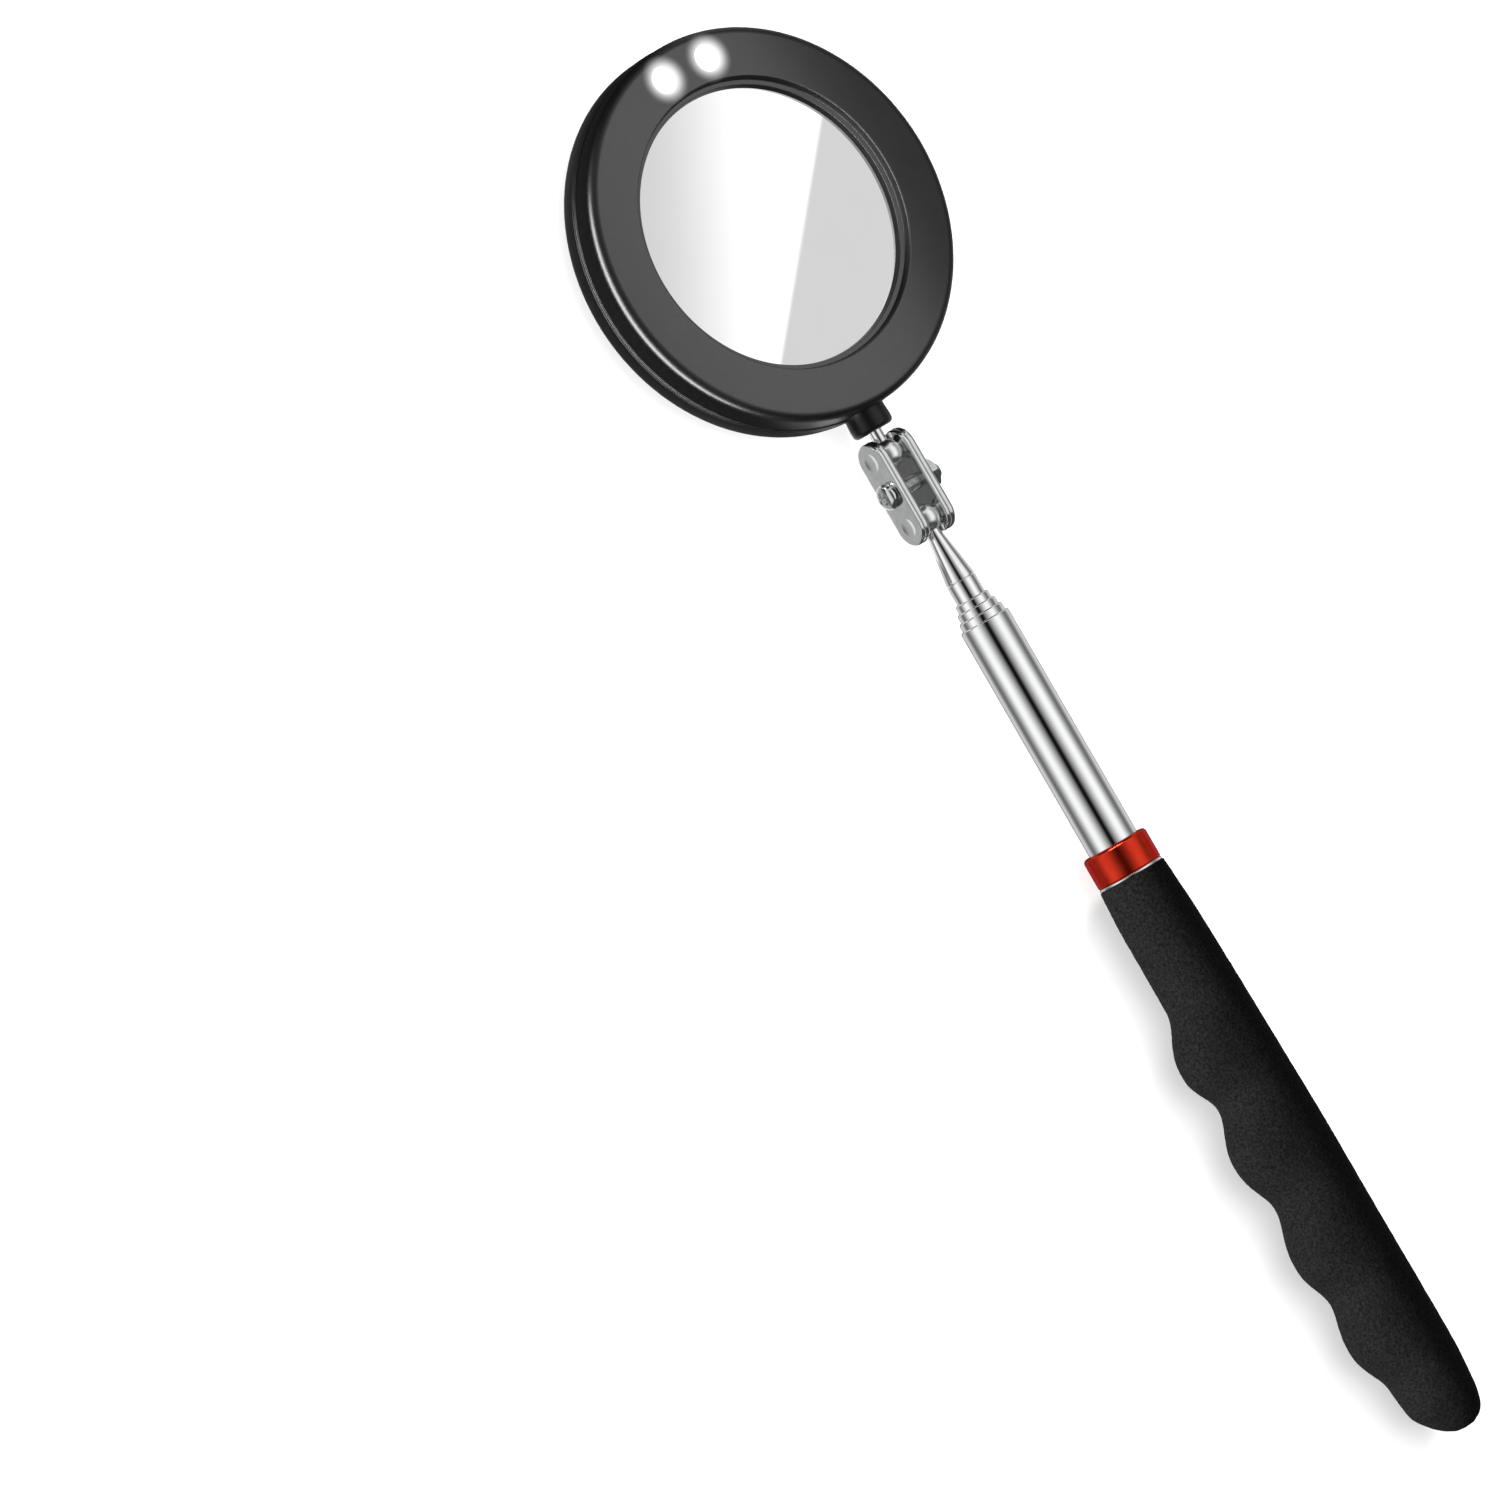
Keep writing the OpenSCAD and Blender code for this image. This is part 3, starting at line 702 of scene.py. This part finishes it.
def make_plate(node, outward):
    half_pitch = (HIGH_BALL - LOW_BALL) / 2
    outer = PLATE_GAP / 2 + PLATE_T
    centre = on_axis(CLAMP_S) + outward * (outer - PLATE_T / 2)
    bm = bmesh.new()
    rings = []
    for height, inset in plate_edge():
        radius = PLATE_W / 2 - inset
        ring = []
        for end in (1, -1):
            for i in range(41):
                angle = math.radians(-90 + 180 * i / 40)
                along = end * (half_pitch + radius * math.cos(angle))
                spot = centre + TOWARDS_HEAD * along + UP * end * radius * math.sin(angle)
                ring.append(bm.verts.new(spot + outward * height))
        rings.append(ring)
    bridge_all(bm, rings)
    bm.faces.new(rings[0])
    bm.faces.new(rings[-1])
    plate = make_object(node + "_stamped", bm)
    for name, station in (("low", LOW_BALL), ("high", HIGH_BALL)):
        ball = on_axis(station)
        cut(plate, dish_cutter(name + "_dish", ball + outward * outer, outward))
        cut(plate, ball_cutter(name + "_seat", ball, BALL_R + 0.05))
    hole_r = 1.58
    hole = [(-1, 0), (-1, hole_r), (outer + 1, hole_r), (outer + 1, 0)]
    cut(plate, lathe("screw_hole", hole, on_axis(CLAMP_S), outward, steps=64))
    put(plate, "plate_steel", "clamp", node)


def make_plates():
    make_plate("joint_plate_screw_side", TOWARDS_SCREW)
    make_plate("joint_plate_nut_side", -TOWARDS_SCREW)


def thread_rows(bm, origin, axis, start, end, outer, inner, pitch, steps=48):
    """A screw thread as a rippled cylinder, closed at both ends."""
    other = axis.cross(UP)
    rows = int((end - start) / pitch * 12)
    rings = []
    for k in range(rows + 1):
        along = start + (end - start) * k / rows
        chamfer = min(1.0, (end - along) / 0.4)
        ring = []
        for i in range(steps):
            turn = i / steps
            phase = (along / pitch - turn) % 1
            crest = 1 - abs(2 * phase - 1)
            radius = inner + (outer - inner) * min(1, crest * 1.25) * chamfer
            angle = 2 * math.pi * turn
            spoke = UP * math.cos(angle) + other * math.sin(angle)
            ring.append(bm.verts.new(origin + axis * along + spoke * radius))
        rings.append(ring)
    bridge_all(bm, rings)
    bm.faces.new(rings[0])
    bm.faces.new(rings[-1])


def slot_cutter(name, origin, axis, top, depth, length, width, turn):
    """One tapered arm of a screwdriver's cross, for cutting a recess."""
    angle = math.radians(turn)
    direction = UP * math.cos(angle) + axis.cross(UP) * math.sin(angle)
    across = axis.cross(direction)
    bm = bmesh.new()
    rings = []
    for height, half_l, half_w in ((top + 0.6, length / 2 + 0.2, width / 2 + 0.1),
                                   (top - depth, length * 0.24, width * 0.34)):
        base = origin + axis * height
        rings.append([bm.verts.new(base + direction * half_l * a + across * half_w * b)
                      for a, b in ((1, 1), (-1, 1), (-1, -1), (1, -1))])
    bm.faces.new(rings[0])
    bm.faces.new(rings[1])
    bridge(bm, rings[0], rings[1])
    return make_object(name, bm)


def pan_head(name, origin, axis, base, radius, height, shank, cross_turn):
    """A pan head with a cross recess, from its bearing face outwards."""
    rim = height * 0.36
    dome = [(base + rim + (height - rim) * math.sin(a), radius * math.cos(a) ** 0.8)
            for a in (math.radians(7.5 * i) for i in range(12))]
    profile = [(base - shank, 0), (base - shank, radius * 0.4), (base + 0.01, radius * 0.4),
               (base + 0.01, radius - 0.15), (base + 0.15, radius), *dome, (base + height, 0)]
    head = lathe(name, profile, origin, axis, steps=96)
    for arm in (0, 90):
        cut(head, slot_cutter(name + "_slot", origin, axis, base + height, height * 0.6,
                              radius * 1.2, radius * 0.26, cross_turn + arm))
    return head


def make_clamp_fasteners():
    origin = on_axis(CLAMP_S)
    outside = PLATE_GAP / 2 + PLATE_T
    nut_t = 2.4
    across_flats = 5.5
    head = pan_head("clamp_screw_head", origin, TOWARDS_SCREW, base=outside, radius=2.7, height=1.9,
                    shank=0.5, cross_turn=20)
    put(head, "fastener_steel", "clamp", "clamp_screw")
    bm = bmesh.new()
    thread_rows(bm, origin, TOWARDS_SCREW, start=-outside - nut_t - 1, end=outside - 0.4, outer=1.5,
                inner=1.12, pitch=0.62)
    thread = make_object("clamp_screw_thread", bm, sharp_angle=70, weighted=False)
    put(thread, "fastener_steel", "clamp", "clamp_screw")

    bm = bmesh.new()
    rings = []
    corner_r = across_flats / 2 / math.cos(math.radians(30))
    for height in (-outside - nut_t, -outside - 0.01):
        ring = []
        for i in range(6):
            angle = math.radians(60 * i + 30)
            spoke = Vector((math.cos(angle), 0, math.sin(angle))) * corner_r
            ring.append(bm.verts.new(origin + TOWARDS_SCREW * height + spoke))
        rings.append(ring)
    bridge(bm, rings[0], rings[1])
    bm.faces.new(rings[0])
    bm.faces.new(rings[1])
    nut = make_object("clamp_nut_hex", bm)
    end = -outside - nut_t - 0.1
    shape = [(end, 0), (end, 2.15), (end + 0.95, 3.4), (-outside - 0.35, 3.4), (-outside + 0.2, 2.6),
             (-outside + 0.2, 0)]
    cut(nut, lathe("nut_chamfer", shape, origin, TOWARDS_SCREW), "INTERSECT")
    bore_r = 1.42
    bore = [(end - 0.1, 0), (end - 0.1, 1.9), (end + 0.4, bore_r), (-outside + 0.4, bore_r),
            (-outside + 0.4, 0)]
    cut(nut, lathe("nut_bore", bore, origin, TOWARDS_SCREW))
    put(nut, "fastener_steel", "clamp", "clamp_nut")


# ---- head ----

def make_neck():
    end = FRONT_X - box_mm("neck_boss")[0].x - NECK_S
    bore_r = 1.42
    groove = (4.4, 6.1)
    profile = rounded([(0, bore_r, 0.15), (0, 4.22, 0.95), (1.8, 4.26, 2), (groove[0], 4.1, 0.05),
                       (groove[0], 3.0, 0), (groove[1], 3.0, 0), (groove[1], 3.6, 0), (end, 3.6, 0),
                       (end, bore_r, 0)], closed=True, steps=8)
    put(lathe("neck_bush", profile, on_axis(NECK_S), TOWARDS_HEAD, closed=True),
        "head_black", "head", "neck_boss")


def make_bezel():
    under = FACE_Z - 2
    pocket = 30.15
    step = pocket + 1.05
    inside = HEAD_R - 2
    lip_r = HEAD_R + SLIP
    wall_r = HEAD_R - 0.22
    on_glass = GLASS_Z + SLIP
    profile = rounded([
        (SEAM_Z, inside, 0), (SEAM_Z, lip_r, 0.12), (SEAM_Z + 0.5, lip_r, 0.2),
        (SEAM_Z + 0.62, wall_r, 0.1), (FACE_Z, wall_r, 1.9),
        (FACE_Z, 29.5, 0.3), (4.75, 29.1, 0.15), (4.62, 28.2, 0.2), (on_glass, 27.9, 0.06),
        (on_glass, pocket, 0), (1.3, pocket, 0), (1.3, step, 0),
        (under, step, 0), (under, inside, 0)], closed=True, steps=10)
    bezel = lathe("bezel", profile, HEAD, UP, closed=True, steps=256)
    hole_r = LED_R + 0.06
    for node in LEDS:
        spot = middle(node)
        spot.z = AXIS_Z
        hole = [(0, 0), (0, hole_r), (FACE_Z - 0.75, hole_r), (FACE_Z - 0.2, 2.75), (FACE_Z + 0.25, 3.2),
                (FACE_Z + 0.25, 0)]
        cut(bezel, lathe(node + "_hole", hole, spot, UP, steps=96))
    put(bezel, "head_black", "head", "head_front_bezel")


# ---- stage ----

TILT = math.radians(90 - VIEW_TILT)
ROLL = math.radians(30)             # the tool leans across the picture by this much
TOWARDS_CAMERA = Vector((0, -math.cos(TILT), math.sin(TILT)))
ACROSS_VIEW = Vector((0, math.sin(TILT), math.cos(TILT)))
CAMERA_RIGHT = Vector((0.5, 0, 0)) + ACROSS_VIEW * math.cos(ROLL)
CAMERA_UP = Vector((-math.cos(ROLL), 0, 0)) + ACROSS_VIEW * 0.5
VIEW_WIDTH = 287.1
LENS = 250.0
SENSOR = 36.0


def make_camera():
    target = Vector((-28.0, 0, AXIS_Z)) - ACROSS_VIEW * 51.2
    camera_data = bpy.data.cameras.new("camera")
    camera_data.lens = LENS
    camera_data.sensor_width = SENSOR
    camera_data.clip_end = 50
    camera = bpy.data.objects.new("camera", camera_data)
    distance = VIEW_WIDTH * LENS / SENSOR
    place = Matrix((CAMERA_RIGHT, CAMERA_UP, TOWARDS_CAMERA)).transposed().to_4x4()
    place.translation = (target + TOWARDS_CAMERA * distance) * MM
    camera.matrix_world = place
    bpy.context.scene.collection.objects.link(camera)
    bpy.context.scene.camera = camera


def make_floor():
    bm = bmesh.new()
    bmesh.ops.create_grid(bm, x_segments=8, y_segments=8, size=6)
    mesh = bpy.data.meshes.new("floor")
    bm.to_mesh(mesh)
    bm.free()
    floor = bpy.data.objects.new("floor", mesh)
    bpy.context.scene.collection.objects.link(floor)
    paint = Paint("floor", Roughness=0.9, Specular_IOR_Level=0.1)
    paint.colours(paint.speckle(40, detail=2), (0.90, 0.90, 0.90), (0.91, 0.91, 0.91))
    mesh.materials.append(paint.material)
    floor.visible_glossy = False
    floor.visible_diffuse = False
    floor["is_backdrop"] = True
    return floor


# what a bright rod along X mirrors: (degrees away from the camera's direction, tone)
STUDIO = [(0, 0.0), (4, 0.01), (7, 0.03), (11, 0.11), (16, 0.24), (22, 0.36), (28, 0.52), (36, 0.74),
          (45, 0.95), (54, 1.1), (62, 0.98), (69, 0.78), (75, 0.62), (81, 0.46), (87, 0.32), (95, 0.19),
          (102, 0.14), (109, 0.19), (116, 0.32), (124, 0.52), (134, 0.68), (148, 0.6), (157, 0.45),
          (166, 0.18), (180, 0.02)]
# what lies past the tool's two ends: (place from the head's end at -1 to the tail's at 1, tone)
ENDS = [(-1.0, 0.03), (-0.82, 0.05), (-0.77, 0.85), (-0.5, 0.6), (0.5, 0.5), (0.68, 0.06), (1.0, 0.07)]


def fill_ramp(ramp, tones, first, last):
    """Gives a ramp grey stops from (place, tone) pairs, where first and last are its two ends."""
    stops = ramp.color_ramp.elements
    while len(stops) < len(tones):
        stops.new(0.5)
    for stop, (place, tone) in zip(stops, tones):
        stop.position = (place - first) / (last - first)
        stop.color = (tone, tone, tone, 1)


def make_world():
    """Soft studio: bright panels and dark gaps that run along the tool, plain white behind."""
    world = bpy.data.worlds.new("studio")
    bpy.context.scene.world = world
    world.use_nodes = True
    tree = world.node_tree
    nodes, links = tree.nodes, tree.links
    background = nodes["Background"]
    direction = nodes.new("ShaderNodeTexCoord").outputs["Generated"]

    def dot(vector):
        node = nodes.new("ShaderNodeVectorMath")
        node.operation = "DOT_PRODUCT"
        links.new(direction, node.inputs[0])
        node.inputs[1].default_value = vector
        return node.outputs["Value"]

    def calc(operation, *values):
        node = nodes.new("ShaderNodeMath")
        node.operation = operation
        for socket, value in zip(node.inputs, values):
            if isinstance(value, (int, float)):
                socket.default_value = value
            else:
                links.new(value, socket)
        return node.outputs["Value"]

    turn = calc("ARCTAN2", dot(ACROSS_VIEW), dot(TOWARDS_CAMERA))
    share = calc("DIVIDE", calc("ABSOLUTE", turn), math.pi)
    ramp = nodes.new("ShaderNodeValToRGB")
    ramp.color_ramp.interpolation = "B_SPLINE"
    fill_ramp(ramp, STUDIO, 0, 180)
    links.new(share, ramp.inputs["Fac"])
    lengthwise = dot(Vector((1, 0, 0)))
    ends = nodes.new("ShaderNodeValToRGB")
    fill_ramp(ends, ENDS, -1, 1)
    links.new(calc("MULTIPLY_ADD", lengthwise, 0.5, 0.5), ends.inputs["Fac"])
    fade = nodes.new("ShaderNodeMapRange")
    fade.interpolation_type = "SMOOTHSTEP"
    fade.inputs["From Min"].default_value = 0.5
    fade.inputs["From Max"].default_value = 0.72
    links.new(calc("ABSOLUTE", lengthwise), fade.inputs["Value"])
    mix = nodes.new("ShaderNodeMix")
    mix.data_type = "RGBA"
    colour_a, colour_b, colour_out = 6, 7, 2
    links.new(fade.outputs["Result"], mix.inputs["Factor"])
    links.new(ramp.outputs["Color"], mix.inputs[colour_a])
    links.new(ends.outputs["Color"], mix.inputs[colour_b])
    links.new(mix.outputs[colour_out], background.inputs["Color"])

    seen = nodes.new("ShaderNodeBackground")
    seen.inputs["Color"].default_value = (1, 1, 1, 1)
    either = nodes.new("ShaderNodeMixShader")
    links.new(nodes.new("ShaderNodeLightPath").outputs["Is Camera Ray"], either.inputs["Fac"])
    links.new(background.outputs["Background"], either.inputs[1])
    links.new(seen.outputs["Background"], either.inputs[2])
    links.new(either.outputs["Shader"], nodes["World Output"].inputs["Surface"])


def group_of(name, objects):
    group = bpy.data.collections.new(name)
    for obj in objects:
        group.objects.link(obj)
    return group


def make_sun(name, power, spread_degrees, direction, lit, shadows=None):
    """A sun that lights only these objects. It throws the shadows of these, or none."""
    data = bpy.data.lights.new(name, "SUN")
    data.energy = power
    data.angle = math.radians(spread_degrees)
    sun = bpy.data.objects.new(name, data)
    sun.rotation_mode = "QUATERNION"
    sun.rotation_quaternion = Vector(direction).to_track_quat("-Z", "Y")
    bpy.context.scene.collection.objects.link(sun)
    sun.light_linking.receiver_collection = group_of(name + "_lit", lit)
    if shadows is None:
        data.use_shadow = False
    else:
        sun.light_linking.blocker_collection = group_of(name + "_shadows", shadows)
    return sun


def make_gloss_panel(name, place, target, size, glow, lit, shadows=True):
    """A soft light that only shows as a reflection, and only in these objects."""
    data = bpy.data.lights.new(name, "AREA")
    data.use_shadow = shadows
    data.shape = "RECTANGLE"
    data.size, data.size_y = (side * MM for side in size)
    data.energy = glow * math.pi * data.size * data.size_y
    light = bpy.data.objects.new(name, data)
    back = (place - target).normalized()
    level = Vector((1, 0, 0))
    light.matrix_world = Matrix((level, back.cross(level), back)).transposed().to_4x4()
    light.location = place * MM
    light.visible_diffuse = False
    light.visible_camera = False
    bpy.context.scene.collection.objects.link(light)
    light.light_linking.receiver_collection = group_of(name + "_lit", lit)
    return light


def reflected_card(name, bm, tree_of):
    """A glowing card that only shows in reflections. tree_of(tree, emission) sets its tones."""
    mesh = bpy.data.meshes.new(name)
    bm.to_mesh(mesh)
    bm.free()
    card = bpy.data.objects.new(name, mesh)
    bpy.context.scene.collection.objects.link(card)
    material = bpy.data.materials.new(name)
    material.use_nodes = True
    tree = material.node_tree
    tree.nodes.clear()
    glow = tree.nodes.new("ShaderNodeEmission")
    tree_of(tree, glow)
    output = tree.nodes.new("ShaderNodeOutputMaterial")
    tree.links.new(glow.outputs["Emission"], output.inputs["Surface"])
    mesh.materials.append(material)
    for kind in ("camera", "shadow", "diffuse"):
        setattr(card, "visible_" + kind, False)
    card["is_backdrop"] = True


def make_under_card(name, outline, inner, height, tones):
    """A card under the tool, which shows only as a reflection, painted with light and shade. Its tones go
    by (y, value).
    """
    bm = bmesh.new()
    outer_ring = [bm.verts.new(Vector((x, y, height)) * MM) for x, y in outline]
    if inner:
        bridge(bm, outer_ring, [bm.verts.new(Vector((x, y, height)) * MM) for x, y in inner])
    else:
        bm.faces.new(outer_ring)

    def tone_by_y(tree, glow):
        apart = tree.nodes.new("ShaderNodeSeparateXYZ")
        tree.links.new(tree.nodes.new("ShaderNodeTexCoord").outputs["Object"], apart.inputs["Vector"])
        first, last = tones[0][0], tones[-1][0]
        place = tree.nodes.new("ShaderNodeMapRange")
        place.inputs["From Min"].default_value = first * MM
        place.inputs["From Max"].default_value = last * MM
        tree.links.new(apart.outputs["Y"], place.inputs["Value"])
        ramp = tree.nodes.new("ShaderNodeValToRGB")
        fill_ramp(ramp, tones, first, last)
        tree.links.new(place.outputs["Result"], ramp.inputs["Fac"])
        tree.links.new(ramp.outputs["Color"], glow.inputs["Color"])

    reflected_card(name, bm, tone_by_y)


def make_under_cards():
    """Cards seen only in reflections, with painted tones: a ring of painted shade that the head's side
    wall mirrors, and painted light and shade of the floor by the joint and in its gap.
    """
    def circle(radius, steps=64):
        return [(HEAD.x + radius * math.cos(2 * math.pi * i / steps),
                 HEAD.y + radius * math.sin(2 * math.pi * i / steps)) for i in range(steps)]

    def oblong(half_length, near, far):
        x = on_axis(CLAMP_S).x
        return [(x - half_length, near), (x + half_length, near), (x + half_length, far),
                (x - half_length, far)]

    # a black ring of painted shade under the head, seen only in its side wall's reflection
    make_under_card("painted_shade_ring", circle(HEAD_R + 30), circle(HEAD_R + 3), -0.8, [(-70, 0), (70, 0)])
    # painted reflection of the floor by the joint, in bands of painted light and shade
    make_under_card("painted_floor_reflection", oblong(14, -45, 45), None, -0.4,
                    [(-45, 0.12), (-21, 0.2), (-13, 0.5), (-8.5, 0.5), (-6.5, 1.0), (-1.5, 1.0), (0, 0.1),
                     (2, 0.3), (45, 0.5)])
    # painted shade in and beside the joint's gap
    make_under_card("joint_shade", oblong(12, -1.4, 2.1), None, 3.4, [(-3, 0.02), (3, 0.02)])
    make_under_card("gap_shade", oblong(4.8, -4.2, 2.1), None, 3.5, [(-5, 0.13), (3, 0.13)])


def make_mirror_card():
    """The white card that the mirror sees, a painted reflection: white to a slanting edge, pale grey past
    it.
    """
    distance = 500.0
    half_size = 75.0
    glass = Vector((HEAD.x, HEAD.y, AXIS_Z + GLASS_Z))
    camera = bpy.context.scene.camera.matrix_world.translation / MM
    ray = (glass - camera).normalized()
    bounced = Vector((ray.x, ray.y, -ray.z))
    centre = glass + bounced * distance
    across = bounced.cross(Vector((1, 0, 0))).normalized()
    along = across.cross(bounced).normalized()
    bm = bmesh.new()
    bm.faces.new([bm.verts.new((centre + along * a * half_size + across * b * half_size) * MM)
                  for a, b in ((-1, -1), (1, -1), (1, 1), (-1, 1))])

    # a length on the glass is this much longer where the card stands
    spread = (distance + (glass - camera).length) / (glass - camera).length
    rise = across * (1 if across.y > 0 else -1)
    # +Y on the glass covers this much of the card's own height
    lift = abs(rise.y)
    edge = (Vector((1, 0, 0)) + rise / lift).normalized()
    fade_way = (Vector((0.55, 0, 0)) + rise * 0.9 / lift).normalized()

    def painted_reflection_zones(tree, glow):
        place = tree.nodes.new("ShaderNodeTexCoord").outputs["Object"]

        def zone(slant, start, end, low, high):
            """From low to high along the slant, between two millimetre marks on the glass."""
            offset = tree.nodes.new("ShaderNodeVectorMath")
            offset.operation = "SUBTRACT"
            offset.inputs[1].default_value = centre * MM
            tree.links.new(place, offset.inputs[0])
            dot = tree.nodes.new("ShaderNodeVectorMath")
            dot.operation = "DOT_PRODUCT"
            tree.links.new(offset.outputs["Vector"], dot.inputs[0])
            dot.inputs[1].default_value = slant
            step = tree.nodes.new("ShaderNodeMapRange")
            step.interpolation_type = "SMOOTHSTEP"
            step.inputs["From Min"].default_value = start * spread * MM
            step.inputs["From Max"].default_value = end * spread * MM
            step.inputs["To Min"].default_value = low
            step.inputs["To Max"].default_value = high
            tree.links.new(dot.outputs["Value"], step.inputs["Value"])
            return step.outputs["Result"]

        # painted reflection: the card's glow is bright to the slanting edge and fades to grey past it
        times = tree.nodes.new("ShaderNodeMath")
        times.operation = "MULTIPLY"
        tree.links.new(zone(edge, 6.1, 7.3, 1.35, 0.745), times.inputs[0])
        tree.links.new(zone(fade_way, -24.0, 5.0, 0.55, 1.0), times.inputs[1])
        tree.links.new(times.outputs["Value"], glow.inputs["Strength"])

    reflected_card("mirror_card", bm, painted_reflection_zones)


def make_lights(floor):
    """Suns for the floor and the grip, and panels that the head's shells and the collar mirror."""
    pieces = [o for o in bpy.context.scene.objects if o.type == "MESH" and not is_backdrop(o)]

    def made_of(slot):
        return [o for o in pieces if o.data.materials and o.data.materials[0] == MATERIALS[slot]]

    grip = made_of("foam")
    make_sun("floor_fill", 2.7, 60, (0, 0, -1), [floor])
    make_sun("floor_key", 1.5, 40, (0.45, -0.7, -0.8), [floor], grip)
    make_sun("grip_key", 9.0, 24, (0.14, 1.0, -0.14), grip, grip)

    shells = [o for o in made_of("head_black") if o.name != "neck_bush"]
    low = HEAD + Vector((230, -450, 55))
    make_gloss_panel("edge_strip", low, Vector((low.x, 0, 0)), (1400, 250), 30, shells)
    bounced = Vector((0, -TOWARDS_CAMERA.y, TOWARDS_CAMERA.z))
    above = HEAD + bounced * 90 - ACROSS_VIEW * 36
    make_gloss_panel("face_panel", above, above - bounced, (120, 60), 2.4, shells)

    collar = made_of("red_collar")
    ring = on_axis(COLLAR_END / 2)
    away = 100
    for side, degrees in (("left", -101), ("right", 101)):
        turn = math.radians(degrees)
        way = TOWARDS_CAMERA * math.cos(turn) + ACROSS_VIEW * math.sin(turn)
        # the left one stands under the floor, so neither is shadowed
        make_gloss_panel("collar_" + side, ring + way * away, ring, (200, 34), 0.22, collar, False)
    lean = math.radians(50)
    way = TOWARDS_HEAD * math.sin(lean) + TOWARDS_CAMERA * math.cos(lean)
    make_gloss_panel("collar_rim", ring + way * away, ring, (20, 110), 14, collar)


# ---- build ----

paint_frame()
make_grip()
make_collar()
make_tubes()
make_studs()
make_plates()
make_clamp_fasteners()
make_neck()
make_bezel()

bpy.context.scene.view_settings.view_transform = "Standard"
make_camera()
stage_floor = make_floor()
make_world()
make_mirror_card()
make_under_cards()
make_lights(stage_floor)
